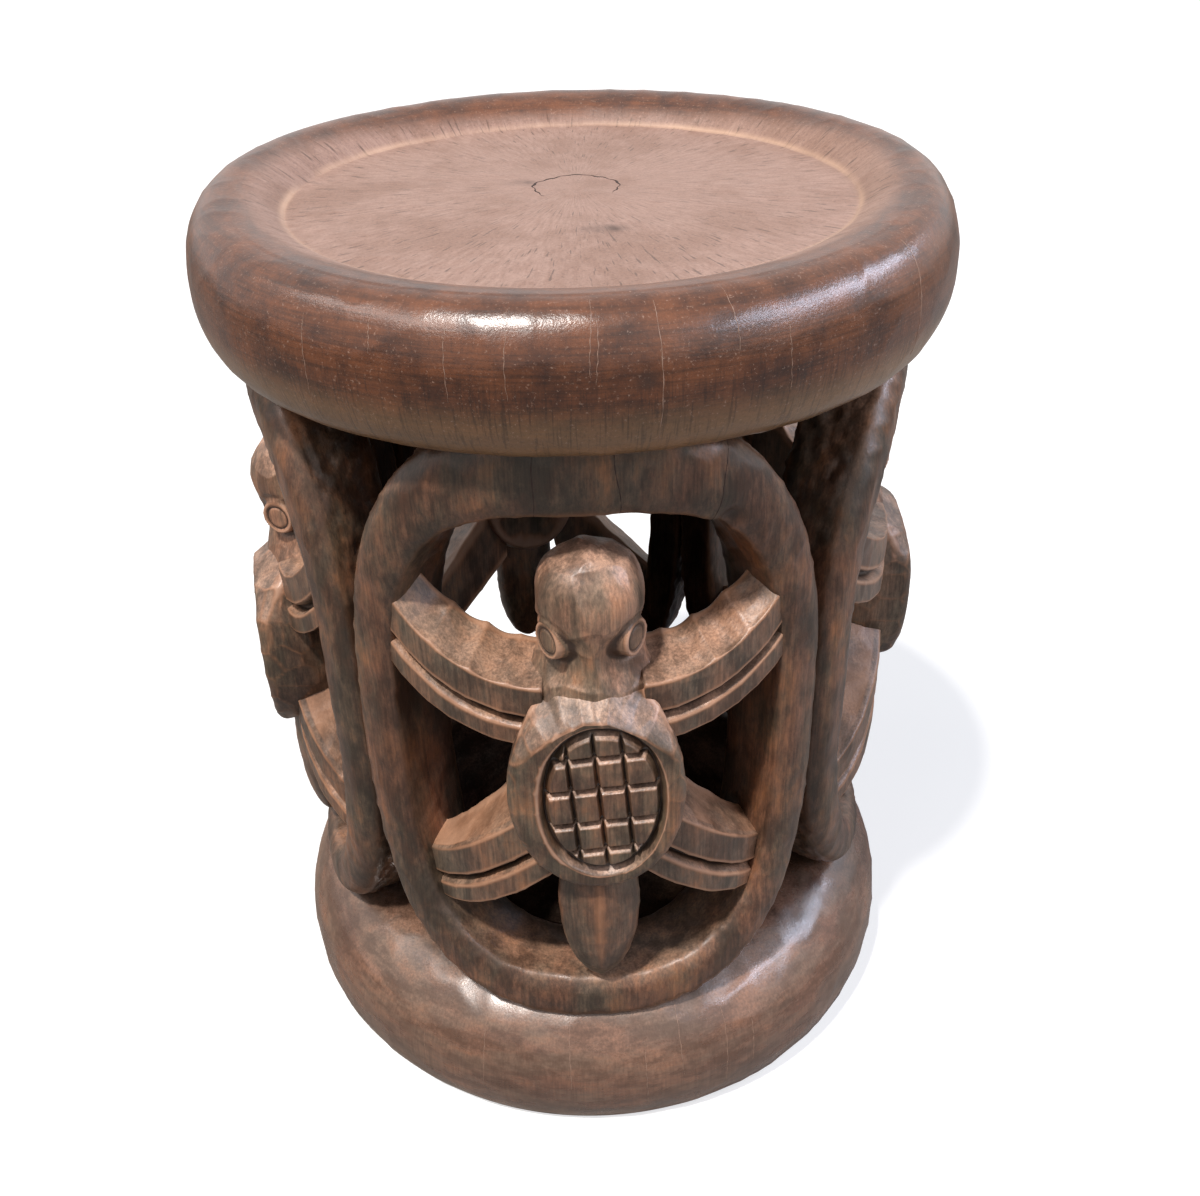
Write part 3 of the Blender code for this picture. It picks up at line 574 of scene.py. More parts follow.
def tile_relief(x, z, border):
    """Depth of the gouged field below the rim: a V along the border, grooves across that lean a little,
    with a narrow floor, steep above and gentle below, thinner V grooves up, and between them tiles that are
    slightly pillowed. Border is the distance in from the field's edge."""
    across = x - FIELD_CENTRE[0]
    up = z - FIELD_CENTRE[1] - TILE_TILT * across
    lean = across + 0.075 * (z - FIELD_CENTRE[1])
    depth = np.zeros(x.shape)
    inside = np.clip((border - 0.3 * BORDER_WIDTH) / (0.3 * BORDER_WIDTH), 0, 1)
    nearest_level = np.full(x.shape, 1.0)
    for middle in LEVEL_GROOVES:
        away = up - middle
        slope = np.where(away > 0, away / 0.0008, -(away + 0.0012) / 0.0020)
        depth = np.maximum(depth, inside * GROOVE_DEPTH * np.clip(1 - slope, 0, 1) ** 0.8)
        nearest_level = np.minimum(nearest_level, np.abs(away))
    for middle in UPRIGHT_GROOVES:
        away = np.abs(lean - middle)
        depth = np.maximum(depth, 0.8 * inside * GROOVE_DEPTH * np.clip(1 - away / 0.0013, 0, 1) ** 0.8)
    from_groove = np.abs(border - BORDER_WIDTH / 2) / (BORDER_WIDTH / 2)
    depth = np.maximum(depth, BORDER_DEPTH * np.clip(1 - from_groove, 0, 1) ** 0.7)
    pillow = 0.0006 * np.clip(nearest_level / 0.008, 0, 1)
    return depth + 0.0007 - pillow


shell_wood = aged_hardwood("carved_hardwood_shells", heart="#7f614d", shade="#664a3a", patina="#635848",
                           rubbed="#a46d48", dust="#c4a08a", hollow_dirt_and_shade="#2a1a12", roughness=0.36, dusting=0.6)
for number, (side, centre) in enumerate(TURTLE_TURNS.items()):
    points = shell_grid(360)
    field = slice(len(points) - FIELD_RINGS, None)
    is_field = np.arange(len(points))[:, None] >= field.start
    border = FIELD_HALF_WIDTH * (1 - np.linspace(1, 0.01, FIELD_RINGS))[:, None]
    depth = np.zeros(points.shape[:2])
    depth[field] = tile_relief(points[field, :, 0], points[field, :, 2], border)
    up_shoulder = np.clip((points[..., 2] - 0.262) / 0.008, 0, 1)
    on_shoulder = up_shoulder * np.clip((-points[..., 1] - 0.140) / 0.01, 0, 1)
    points = placed(points, math.radians(centre))
    points = tooled(points, False, 0.013, 0.0005, 300 + 10 * number, np.where(is_field, 0.25, 1.0))
    points = tooled(points, False, 0.012, 0.0005, 305 + 10 * number, on_shoulder * (1 - is_field))
    inward = np.array((-math.sin(math.radians(centre)), math.cos(math.radians(centre)), 0))
    points = points + depth[..., None] * inward
    wear_and_shading = relief(points, False, 8, 0.0006)
    wear_and_shading = np.where(is_field & (wear_and_shading > 0), 0.35 * wear_and_shading, wear_and_shading)
    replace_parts(grid_piece("wood_turtle_shell_" + side, shell_wood, points, False, wear_and_shading),
                "turtle_shell_" + side)


# TURTLE HEADS
# A bulb of a head that leans out above the shell, with two raised disc eyes turned half sideways and a
# muzzle that narrows between them. The brow is rubbed pale.

HEAD_AXIS = 0.138
HEAD_RINGS = {
    "height": (0.262, 0.272, 0.280, 0.288, 0.295, 0.303, 0.311, 0.318, 0.325, 0.330, 0.334, 0.3365),
    "reach": (0.032, 0.0288, 0.0252, 0.0226, 0.0214, 0.0214, 0.0222, 0.022, 0.0199, 0.016, 0.0105, 0.002),
    "front": (0.16, 0.1595, 0.1582, 0.1572, 0.1575, 0.1592, 0.1612, 0.1608, 0.158, 0.154, 0.149, 0.142),
    "back": (0.122, 0.122, 0.121, 0.120, 0.1185, 0.118, 0.1175, 0.118, 0.121, 0.1245, 0.129, 0.134),
    "power": (2.0, 1.65, 1.30, 1.25, 1.55, 2.0, 2.2, 2.25, 2.2, 2.15, 2.1, 2.0)}
EYE_TURN = math.radians(56)
EYE_HEIGHT = 0.2975
EYE_RADIUS = 0.0086
EYE_BOSS = 0.0030
CHEEK = 0.0195


def head_grid(rows, columns):
    """Bulb on a broad collar: rings whose side reach, front, back and squareness follow the listed heights.
    Across is the reach times |sin|^(2/p), and out from the axis is the front or back distance times
    |cos|^(2/p)."""
    listed = np.array(HEAD_RINGS["height"])
    step = np.linspace(0, 1, rows)
    height = listed[0] + (listed[-1] - listed[0]) * (1 - (1 - step) ** 1.25)
    average = np.ones(17) / 17
    reach, front, back, power = (
        np.convolve(np.pad(np.interp(height, listed, HEAD_RINGS[name]), 8, "edge"), average, "valid")[:, None]
        for name in ("reach", "front", "back", "power"))
    turn = np.linspace(0, 2 * math.pi, columns, endpoint=False)
    across = reach * powered(np.sin(turn), power)
    deep = np.where(np.cos(turn) > 0, front - HEAD_AXIS, HEAD_AXIS - back)
    out = HEAD_AXIS + deep * powered(np.cos(turn), power)
    return eased(np.stack(np.broadcast_arrays(across, -out, height[:, None]), axis=-1), 4, False)


def with_eyes(points):
    """Head with its eyes: within a disc round each eye's axis, points move along the axis to a flat boss
    with a ring groove, and round it they sink into a socket."""
    for hand in (-1, 1):
        look = np.array((hand * math.sin(EYE_TURN), -math.cos(EYE_TURN), 0.0))
        offset = points - (np.array((0, -HEAD_AXIS, EYE_HEIGHT)) + CHEEK * look)
        ahead = offset @ look
        away = np.linalg.norm(offset - ahead[..., None] * look, axis=-1)
        facing = ahead > -0.012
        disc = np.clip((EYE_RADIUS + 0.0005 - away) / 0.0010, 0, 1) * facing
        boss = EYE_BOSS - 0.0008 * np.exp(-((away - 0.66 * EYE_RADIUS) / 0.0007) ** 2)
        socket = 0.0008 * np.exp(-((away - 1.28 * EYE_RADIUS) / 0.0016) ** 2) * facing
        points = points + (disc * (boss - ahead) - (1 - disc) * socket)[..., None] * look
    return points


head_wood = aged_hardwood("rubbed_hardwood_heads", heart="#ad8168", shade="#88624c", patina="#6f604f",
                          rubbed="#b37c58", dust="#c6a089", hollow_dirt_and_shade="#33221a", roughness=0.36, dusting=0.5)
for number, (side, centre) in enumerate(TURTLE_TURNS.items()):
    points = head_grid(150, 200)
    wear_and_shading = relief(with_eyes(points), False, 6, 0.0005)
    points = with_eyes(tooled(points, False, 0.017, 0.0011, 400 + 10 * number))
    points = placed(points, math.radians(centre))
    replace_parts(grid_piece("wood_turtle_head_" + side, head_wood, points, False, wear_and_shading),
                "turtle_head_" + side)


# TURTLE FLIPPERS
# Four flippers on each turtle sweep out from the shell into the frame's limbs. Their tops are scalloped by
# the gouge, and a deep V groove splits the front face.

FLIPPER_ROOT_BACK = 0.127
FLIPPER_TIP_DEPTH = 0.014
FLIPPER_GROOVE = 0.0070
GROOVE_HALF_WIDTH = 0.0028
TOP_COLUMNS, FACE_COLUMNS, REAR_COLUMNS = 22, 44, 12
FLIPPERS = {
    "upper": {"root_front": 0.155, "tip_front": 0.150, "root": 0.2595, "tip": 0.291, "root_tall": 0.031,
              "tip_tall": 0.039, "belly": -0.002, "bend": 2.1, "drop": 0.0028, "crown": 1.55, "dip": 0.0030},
    "lower": {"root_front": 0.159, "tip_front": 0.143, "root": 0.196, "tip": 0.144, "root_tall": 0.043,
              "tip_tall": 0.026, "belly": 0.004, "bend": 1.4, "drop": 0.0035, "crown": 1.55, "dip": 0.0008}}


def oval_reach(height, half_width, bottom, top, foot_power, crown_power):
    """Side reach of the squared ellipse at a height: the half width times (1 - |rise|^p)^(1/p)."""
    up = (height - (bottom + top) / 2) / ((top - bottom) / 2)
    power = crown_power if up > 0 else foot_power
    return half_width * (1 - abs(up) ** power) ** (1 / power)


def flipper_grid(hand, half_sector, root_front, tip_front, root, tip, root_tall, tip_tall, belly, bend, drop,
                 crown, dip, rows):
    """Section carried on upright planes round the log, from the shell to the limb. Its height eases from
    root to tip by a power. Its section runs over the top, which dips in scallops, each half a sine wave,
    down the front with a groove, under, and up the back."""
    root_reach = oval_reach(root, SHELL_HALF_WIDTH, SHELL_BOTTOM, SHELL_TOP, 2.1, 3.0)
    root_angle = math.asin(0.62 * root_reach / root_front)
    lip = oval_reach(tip, half_sector - LIMB_FRONT_WIDTH / FRAME_FRONT, **OPENING_OVAL)
    wall = oval_reach(tip, half_sector - LIMB_BACK_WIDTH / FRAME_BACK, **OPENING_OVAL)
    skin = oval_reach(tip, half_sector, **FRAME_OVAL)
    tip_angle = max(lip, wall) + 0.30 * (skin - max(lip, wall))
    share = np.linspace(0, 1, rows)[:, None]
    climb = share ** bend if tip > root else 1 - (1 - share) ** bend
    half = (root_tall + (tip_tall - root_tall) * share + belly * 4 * share * (1 - share)) / 2
    middle = root + (tip - root) * climb
    front = root_front + (tip_front - root_front) * share ** 2
    back = FLIPPER_ROOT_BACK + (tip_front - FLIPPER_TIP_DEPTH - FLIPPER_ROOT_BACK) * share ** 2
    part = np.linspace(0, 1, TOP_COLUMNS, endpoint=False)
    face = np.linspace(1, -1, FACE_COLUMNS, endpoint=False)
    rear = np.linspace(-1, 1, REAR_COLUMNS, endpoint=False)
    cut = FLIPPER_GROOVE * np.clip(1 - np.abs(face * half + drop) / GROOVE_HALF_WIDTH, 0, 1) ** 0.6
    radius = np.concatenate((back + (front - back) * part, front - cut, front + (back - front) * part,
                             back + 0 * rear), axis=1)
    scallop = dip * np.abs(np.sin(4.4 * math.pi * share + 0.5)) * np.sin(math.pi * share)
    top_rise = half * (crown + (1 - crown) * part) - scallop * (1 - 0.5 * part)
    rear_rise = half * np.where(rear > 0, crown, 0.84) * rear
    rise = np.concatenate((top_rise, half * face, -half * (1 - 0.16 * part), rear_rise), axis=1)
    angle = hand * (root_angle + (tip_angle - root_angle) * share)
    return eased(around_log(angle, radius, middle + rise), 1)


flipper_wood = aged_hardwood("carved_hardwood_flippers", heart="#805e4a", shade="#654a39", patina="#5f5447",
                             rubbed="#a06c49", dust="#c39a7f", hollow_dirt_and_shade="#26170f", roughness=0.38, dusting=0.42)
for number, (side, centre) in enumerate(TURTLE_TURNS.items()):
    half_sector = SIDES[side][1]
    for level, sizes in FLIPPERS.items():
        for flank, hand in (("left", -1), ("right", 1)):
            name = "%s_%s_flipper_%s" % (level, flank, side)
            seed = 500 + 40 * number + (10 if level == "upper" else 0) + hand
            points = flipper_grid(hand, math.radians(half_sector), **sizes, rows=90)
            points = placed(points, math.radians(centre))
            wear_and_shading = relief(points, False, 16, 0.0014)
            # Painted light: the lower flippers' tops get a raised wear mark, so they come out pale and orange
            # as if lit from above.
            if level == "lower":
                top = slice(2, TOP_COLUMNS - 2)
                wear_and_shading[:, top] += 0.45 + 0.35 * swell(points[:, top], 0.012, seed)
            points = tooled(points, False, 0.016, 0.0005, seed)
            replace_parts(grid_piece("wood_" + name, flipper_wood, points, False, wear_and_shading), name)


# SEAT
# The top slice of the log: a thick disc with a rolled rim and a dished floor. Its floor and the dish are
# end grain, with the pith ring and fine drying checks. Its rim is side grain, dark, waxed and rubbed to a
# gloss.

SEAT_RADIUS = 0.171
SEAT_TOP = 0.450
SEAT_UNDERSIDE = 0.383
SEAT_ROLL = 0.0195
SEAT_POWER = 2.2
SEAT_FLOOR_RADIUS = 0.127
SEAT_FLOOR = 0.437
PITH = (0.002, 0.0105)
PITH_RING_RADIUS = 0.0195
CREST_WEAR = 0.0065
WEAR_FROM = 0.400
KNOT_PIT = 0.0004
SEAT_AROUND, FLOOR_STEPS, DISH_STEPS, RIM_STEPS = 600, 40, 26, 70


def seat_grid(around, floor_steps, dish_steps, rim_steps, under_steps):
    """Profile turned about the log's axis: a flat floor, a dish that rises to the crest as a quarter of a
    sine wave, a rim rolled as a squared ellipse of power 2.2, and the flat underside."""
    floor = 0.004 + (SEAT_FLOOR_RADIUS - 0.004) * (1 - np.linspace(1, 0, floor_steps) ** 1.6)
    crest = SEAT_RADIUS - SEAT_ROLL
    dish = np.linspace(0, 1, dish_steps + 1)[1:]
    turn = np.linspace(math.pi / 2, -math.pi / 2, rim_steps)[1:]
    half = (SEAT_TOP - SEAT_UNDERSIDE) / 2
    rim_radius = crest + SEAT_ROLL * powered(np.cos(turn), SEAT_POWER)
    rim_height = SEAT_UNDERSIDE + half + half * powered(np.sin(turn), SEAT_POWER)
    under = np.linspace(crest, 0.01, under_steps)[1:]
    dish_radius = SEAT_FLOOR_RADIUS + (crest - SEAT_FLOOR_RADIUS) * dish
    radius = np.concatenate((floor, dish_radius, rim_radius, under))
    height = np.concatenate((np.full(floor_steps, SEAT_FLOOR),
                             SEAT_FLOOR + (SEAT_TOP - SEAT_FLOOR) * np.sin(math.pi / 2 * dish),
                             rim_height, np.full(under_steps - 1, SEAT_UNDERSIDE)))
    angle = np.linspace(0, 2 * math.pi, around, endpoint=False)
    return around_log(angle, radius[:, None], height[:, None])


# The same dense hardwood, sat on and waxed for years: pale brown end grain with rays on the floor, dull
# from wear, and deep red-brown side grain with a long sheen on the rim.
seat_wood = bpy.data.materials.new("waxed_hardwood_seat")
seat_wood.use_nodes = True
tree = seat_wood.node_tree
surface = tree.nodes["Principled BSDF"]
place = put(tree, "TexCoord", {}, {}).outputs["Object"]
marks = put(tree, "Attribute", {"attribute_name": "wear_and_shading"}, {}).outputs["Fac"]
height = put(tree, "SeparateXYZ", {}, {0: place}).outputs[2]
from_pith = put(tree, "VectorMath", {"operation": "MULTIPLY_ADD"},
                {0: place, 1: (1, 1, 0), 2: (-PITH[0], -PITH[1], 0)}).outputs[0]
away = put(tree, "VectorMath", {"operation": "LENGTH"}, {0: from_pith}).outputs["Value"]
outward = put(tree, "VectorMath", {"operation": "NORMALIZE"}, {0: from_pith}).outputs[0]

# End grain of the floor: rays 2.6 mm wide at 0.1 m from the pith, growth rings 5 mm wide, clouds of 45 mm,
# and dark drying slits 1.6 mm wide and 12 mm long.
drift = put(tree, "VectorMath", {"operation": "MULTIPLY"}, {0: from_pith, 1: (1 / 0.012, 1 / 0.012, 0)})
ray_place = put(tree, "VectorMath", {"operation": "MULTIPLY_ADD"},
                {0: outward, 1: (38, 38, 0), 2: drift.outputs[0]})
rays = put(tree, "TexNoise", {},
           {"Vector": ray_place.outputs[0], "Scale": 1.0, "Detail": 5.0, "Roughness": 0.7})
clouds = put(tree, "TexNoise", {}, {"Vector": place, "Scale": 1 / 0.045, "Detail": 8.0, "Roughness": 0.68})
ringing = put(tree, "MapRange", {}, {"Value": away, "From Max": 0.005})
rings = put(tree, "TexNoise", {"noise_dimensions": "1D"},
            {"W": ringing.outputs[0], "Scale": 1.0, "Detail": 3.0})
pores = put(tree, "TexNoise", {}, {"Vector": place, "Scale": 1 / 0.0013, "Detail": 3.0, "Roughness": 0.7})
# Side grain of the rim: level streaks 40 mm by 1.5 mm, and fine checks 0.9 mm wide and 16 mm tall.
layer = put(tree, "VectorMath", {"operation": "MULTIPLY"}, {0: place, 1: (0, 0, 1 / 0.0015)})
streak_place = put(tree, "VectorMath", {"operation": "MULTIPLY_ADD"},
                   {0: outward, 1: (4.2, 4.2, 0), 2: layer.outputs[0]})
streaks = put(tree, "TexNoise", {},
              {"Vector": streak_place.outputs[0], "Scale": 1.0, "Detail": 5.0, "Roughness": 0.68})
tier = put(tree, "VectorMath", {"operation": "MULTIPLY"}, {0: place, 1: (0, 0, 1 / 0.016)})
check_place = put(tree, "VectorMath", {"operation": "MULTIPLY_ADD"},
                  {0: outward, 1: (190, 190, 0), 2: tier.outputs[0]})
checks = put(tree, "TexNoise", {}, {"Vector": check_place.outputs[0], "Scale": 1.0, "Detail": 2.0})

ray_share = put(tree, "MapRange", {}, {"Value": rays.outputs[0], "From Min": 0.40, "From Max": 0.60})
floor_tone = put(tree, "Mix", {"data_type": "RGBA"},
                 {0: ray_share.outputs[0], 6: linear("#8f7265"), 7: linear("#9f8275")})
cloud_share = put(tree, "MapRange", {"interpolation_type": "SMOOTHSTEP"},
                  {"Value": clouds.outputs[0], "From Min": 0.44, "From Max": 0.64, "To Max": 0.6})
floor_tone = put(tree, "Mix", {"data_type": "RGBA"},
                 {0: cloud_share.outputs[0], 6: floor_tone.outputs[2], 7: linear("#7f6152")})
ring_share = put(tree, "MapRange", {},
                 {"Value": rings.outputs[0], "From Min": 0.3, "From Max": 0.7,
                  "To Min": 0.88, "To Max": 1.08})
floor_tone = put(tree, "VectorMath", {"operation": "SCALE"},
                 {0: floor_tone.outputs[2], "Scale": ring_share.outputs[0]})

slit_place = put(tree, "VectorMath", {"operation": "MULTIPLY_ADD"},
                 {0: outward, 1: (64, 64, 0), 2: drift.outputs[0]}).outputs[0]
slits = put(tree, "TexNoise", {"noise_dimensions": "4D"},
            {"Vector": slit_place, "W": 2.9, "Scale": 1.0, "Detail": 1.0})
slit = put(tree, "MapRange", {"interpolation_type": "SMOOTHSTEP"},
           {"Value": slits.outputs[0], "From Min": 0.30, "From Max": 0.39, "To Min": 0.50, "To Max": 1.0})
floor_tone = put(tree, "VectorMath", {"operation": "SCALE"},
                 {0: floor_tone.outputs[0], "Scale": slit.outputs[0]})

streak_share = put(tree, "MapRange", {"interpolation_type": "SMOOTHSTEP"},
                   {"Value": streaks.outputs[0], "From Min": 0.36, "From Max": 0.58})
mottle = put(tree, "TexNoise", {"noise_dimensions": "4D"},
             {"Vector": place, "W": 5.3, "Scale": 1 / 0.018, "Detail": 8.0, "Roughness": 0.7})
mottle_share = put(tree, "MapRange", {"interpolation_type": "SMOOTHSTEP"},
                   {"Value": mottle.outputs[0], "From Min": 0.30, "From Max": 0.66})
rim_tone = put(tree, "Mix", {"data_type": "RGBA"},
               {0: mottle_share.outputs[0], 6: linear("#391c0e"), 7: linear("#683c22")})
streak_dark = put(tree, "MapRange", {}, {"Value": streak_share.outputs[0], "To Min": 0.66, "To Max": 1.12})
rim_tone = put(tree, "VectorMath", {"operation": "SCALE"},
               {0: rim_tone.outputs[2], "Scale": streak_dark.outputs[0]})
low_share = put(tree, "MapRange", {"interpolation_type": "SMOOTHSTEP"},
                {"Value": height, "From Min": 0.412, "From Max": 0.394, "To Max": 0.65})
rim_tone = put(tree, "Mix", {"data_type": "RGBA"},
               {0: low_share.outputs[0], 6: rim_tone.outputs[0], 7: linear("#93724f")})
comb = put(tree, "MapRange", {"interpolation_type": "SMOOTHSTEP"},
           {"Value": height, "From Min": 0.424, "From Max": 0.410, "To Min": 0.92, "To Max": 0.62})
check_share = put(tree, "MapRange", {"interpolation_type": "SMOOTHSTEP"},
                  {"Value": checks.outputs[0], "From Min": 0.34, "From Max": 0.48,
                   "To Min": comb.outputs[0], "To Max": 1.0})
rim_tone = put(tree, "VectorMath", {"operation": "SCALE"},
               {0: rim_tone.outputs[2], "Scale": check_share.outputs[0]})

# The rim's colour starts on the dish, a little further out at the sides, and takes in all that lies below
# the floor.
flat = put(tree, "VectorMath", {"operation": "MULTIPLY"}, {0: place, 1: (0.92, 1, 0)})
axis_away = put(tree, "VectorMath", {"operation": "LENGTH"}, {0: flat.outputs[0]}).outputs["Value"]
rim_out = put(tree, "MapRange", {"interpolation_type": "SMOOTHSTEP"},
              {"Value": axis_away, "From Min": 0.126, "From Max": 0.138})
rim_down = put(tree, "MapRange", {"interpolation_type": "SMOOTHSTEP"},
               {"Value": height, "From Min": 0.434, "From Max": 0.426})
on_rim = put(tree, "Math", {"operation": "MAXIMUM"},
             {0: rim_out.outputs[0], 1: rim_down.outputs[0]}).outputs[0]
colour = put(tree, "Mix", {"data_type": "RGBA"},
             {0: on_rim, 6: floor_tone.outputs[0], 7: rim_tone.outputs[0]})
pore = put(tree, "MapRange", {},
           {"Value": pores.outputs[0], "From Min": 0.30, "From Max": 0.48, "To Min": 0.70, "To Max": 1.0})
colour = put(tree, "VectorMath", {"operation": "SCALE"}, {0: colour.outputs[2], "Scale": pore.outputs[0]})
# Pale flecks on the pores: partly pale wax, partly painted glints of light.
fleck_and_glint = put(tree, "MapRange", {"interpolation_type": "SMOOTHSTEP"},
            {"Value": pores.outputs[0], "From Min": 0.60, "From Max": 0.70, "To Max": 0.35})
colour = put(tree, "Mix", {"data_type": "RGBA"},
             {0: fleck_and_glint.outputs[0], 6: colour.outputs[0], 7: linear("#b79a88")})
pale = put(tree, "MapRange", {}, {"Value": marks, "From Min": 0.0, "From Max": 1.0, "To Max": 0.7})
colour = put(tree, "Mix", {"data_type": "RGBA"},
             {0: pale.outputs[0], 6: colour.outputs[2], 7: linear("#c9a78f")})
dark = put(tree, "MapRange", {}, {"Value": marks, "From Min": 0.0, "From Max": -1.0, "To Max": 0.85})
colour = put(tree, "Mix", {"data_type": "RGBA"},
             {0: dark.outputs[0], 6: colour.outputs[2], 7: linear("#2e1d16")})
tree.links.new(colour.outputs[2], surface.inputs["Base Color"])
gloss = put(tree, "MapRange", {}, {"Value": on_rim, "To Min": 0.50, "To Max": 0.28})
tree.links.new(gloss.outputs[0], surface.inputs["Roughness"])
bump = put(tree, "Bump", {}, {"Height": pores.outputs[0], "Strength": 0.30, "Distance": 0.0004})
tree.links.new(bump.outputs[0], surface.inputs["Normal"])
polish = put(tree, "MapRange", {}, {"Value": on_rim, "To Min": 0.4, "To Max": 0.65})
tree.links.new(polish.outputs[0], surface.inputs["Specular IOR Level"])

# Marks for the material: a pale line where the floor meets the dish, two dark smudges, each with its place,
# its half width and its strength, and a small knot in the rim.
BORDER_LINE = 0.1278
SMUDGES = ((0.0136, -0.0548, 0.008, 1.0), (-0.0224, 0.019, 0.007, 0.6))
KNOT = around_log(math.radians(8.3), 0.169, 0.4204)
seat_points = seat_grid(SEAT_AROUND, FLOOR_STEPS, DISH_STEPS, RIM_STEPS, under_steps=12)
from_axis = np.hypot(seat_points[..., 0], seat_points[..., 1])
on_top = seat_points[..., 2] > SEAT_FLOOR - 0.001
border_line = np.exp(-((from_axis - BORDER_LINE) / 0.0013) ** 2)
border_line *= 0.6 + 0.6 * swell(seat_points, 0.020, 901)
smudge = np.zeros(from_axis.shape)
for x, y, half_width, strength in SMUDGES:
    across, along = (seat_points[..., 0] - x) / half_width, (seat_points[..., 1] - y) / 0.004
    smudge += strength * np.exp(-across ** 2 - along ** 2)
smudge *= 0.9 + 0.8 * swell(seat_points, 0.0035, 902)
knot_mark = np.exp(-(np.linalg.norm(seat_points - KNOT, axis=-1) / 0.0040) ** 2)
seat_marks = np.clip(on_top * (border_line - smudge) - 1.2 * knot_mark, -1, 1)
pit = KNOT_PIT * knot_mark[..., None] * grid_normals(seat_points, False)
seat_points = tooled(seat_points, False, 0.026, 0.0004, 900) - pit
# The front of the crest is worn 6.5 mm lower than the back, by a 3t^2 - 2t^3 round the log.
forward = np.clip((0.3 - seat_points[..., 1] / from_axis) / 1.2, 0, 1)
up_dish = np.clip((seat_points[..., 2] - SEAT_FLOOR - 0.0005) / (SEAT_TOP - SEAT_FLOOR), 0, 1)
up_rim = np.clip((seat_points[..., 2] - WEAR_FROM) / (SEAT_TOP - WEAR_FROM), 0, 1) ** 1.3
worn_share = np.where(from_axis < SEAT_RADIUS - SEAT_ROLL, up_dish, up_rim)
seat_points[..., 2] -= CREST_WEAR * forward ** 2 * (3 - 2 * forward) * worn_share
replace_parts(grid_piece("wood_seat_top", seat_wood, seat_points, False, seat_marks), "seat_top")

# Wax stands pale in the rim's drying cracks, each with its angle in degrees, its lower and upper end, and
# its half width. The ring crack round the pith is drawn dark, painted shade in its gap.
RIM_CRACKS = ((-36.0, 0.400, 0.434, 0.00025), (-26.0, 0.425, 0.438, 0.0002), (-15.8, 0.410, 0.441, 0.0002),
              (-8.4, 0.412, 0.442, 0.0002), (1.6, 0.420, 0.444, 0.0002), (2.3, 0.418, 0.441, 0.0002),
              (9.8, 0.390, 0.445, 0.00025), (19.5, 0.424, 0.445, 0.0002), (26.8, 0.405, 0.436, 0.0002),
              (52.0, 0.398, 0.442, 0.0004), (120.0, 0.398, 0.440, 0.0004), (205.0, 0.405, 0.441, 0.0002))
rim_rows = FLOOR_STEPS + DISH_STEPS + np.arange(RIM_STEPS - 1)
for number, (azimuth, low, high, half_width) in enumerate(RIM_CRACKS):
    step = np.linspace(0, 1, 40)
    rows = np.interp(-low - (high - low) * step, -seat_points[rim_rows, 0, 2], rim_rows)
    wander = 0.20 * np.sin(4 * step + number) + 0.05 * np.sin(29 * step + 2 * number)
    columns = (azimuth + wander) * SEAT_AROUND / 360
    crack_lens("wax_rim_%d" % number, crack_wax, seat_points, False, rows, columns, half_width)
turn = np.linspace(-0.6, 3.9, 120)
ring_radius = PITH_RING_RADIUS * (1 + 0.035 * np.sin(5 * turn) + 0.02 * np.sin(17 * turn))
ring_x, ring_y = PITH[0] + ring_radius * np.cos(turn), PITH[1] + ring_radius * np.sin(turn)
rows = np.interp(np.hypot(ring_x, ring_y), from_axis[:FLOOR_STEPS, 0], np.arange(FLOOR_STEPS))
columns = np.unwrap(np.arctan2(ring_x, -ring_y)) * SEAT_AROUND / (2 * math.pi)
crack_lens("shade_pith_ring", crack_shade, seat_points, False, rows, columns, 0.0008)


# FLOOR, LIGHT AND CAMERA
# A plain pale floor, a small warm lamp high on the left with a weak broad one across from it, two long
# softboxes that give the rim its sheen, and a camera at standing height that looks down on the stool.

floor_mesh = bpy.data.meshes.new("floor")
floor_mesh.from_pydata([(-9, -9, 0), (9, -9, 0), (9, 9, 0), (-9, 9, 0)], [], [(0, 1, 2, 3)])
floor = bpy.data.objects.new("floor", floor_mesh)
bpy.context.scene.collection.objects.link(floor)
# Matt white paper, with no shine. It shows white to the camera alone, and throws only a dim bounce on the
# stool.
paper = bpy.data.materials.new("matt_white_paper")
paper.use_nodes = True
path = put(paper.node_tree, "LightPath", {}, {})
paper_surface = paper.node_tree.nodes["Principled BSDF"]
seen_floor = put(paper.node_tree, "Mix", {"data_type": "RGBA"},
                 {0: path.outputs["Is Camera Ray"], 6: linear("#8c8986"), 7: linear("#b4b4b4")})
paper.node_tree.links.new(seen_floor.outputs[2], paper_surface.inputs["Base Color"])
paper_surface.inputs["Roughness"].default_value = 0.9
paper_surface.inputs["Specular IOR Level"].default_value = 0.0
paper_surface.inputs["Emission Color"].default_value = (1, 1, 1, 1)
glow = put(paper.node_tree, "Math", {"operation": "MULTIPLY"}, {0: path.outputs["Is Camera Ray"], 1: 0.62})
paper.node_tree.links.new(glow.outputs[0], paper_surface.inputs["Emission Strength"])
floor_mesh.materials.append(paper)

world = bpy.data.worlds.new("studio")
world.use_nodes = True
bpy.context.scene.world = world
sky = world.node_tree.nodes["Background"]
ray = put(world.node_tree, "LightPath", {}, {})
seen = put(world.node_tree, "Math", {"operation": "MAXIMUM"},
           {0: ray.outputs["Is Camera Ray"], 1: ray.outputs["Is Glossy Ray"]})
seen = put(world.node_tree, "Math", {"operation": "MAXIMUM"},
           {0: seen.outputs[0], 1: ray.outputs["Is Transmission Ray"]})
sky_level = put(world.node_tree, "MapRange", {}, {"Value": seen.outputs[0], "To Min": 0.06, "To Max": 1.0})
world.node_tree.links.new(sky_level.outputs[0], sky.inputs["Strength"])
sky.inputs["Color"].default_value = (1, 1, 1, 1)


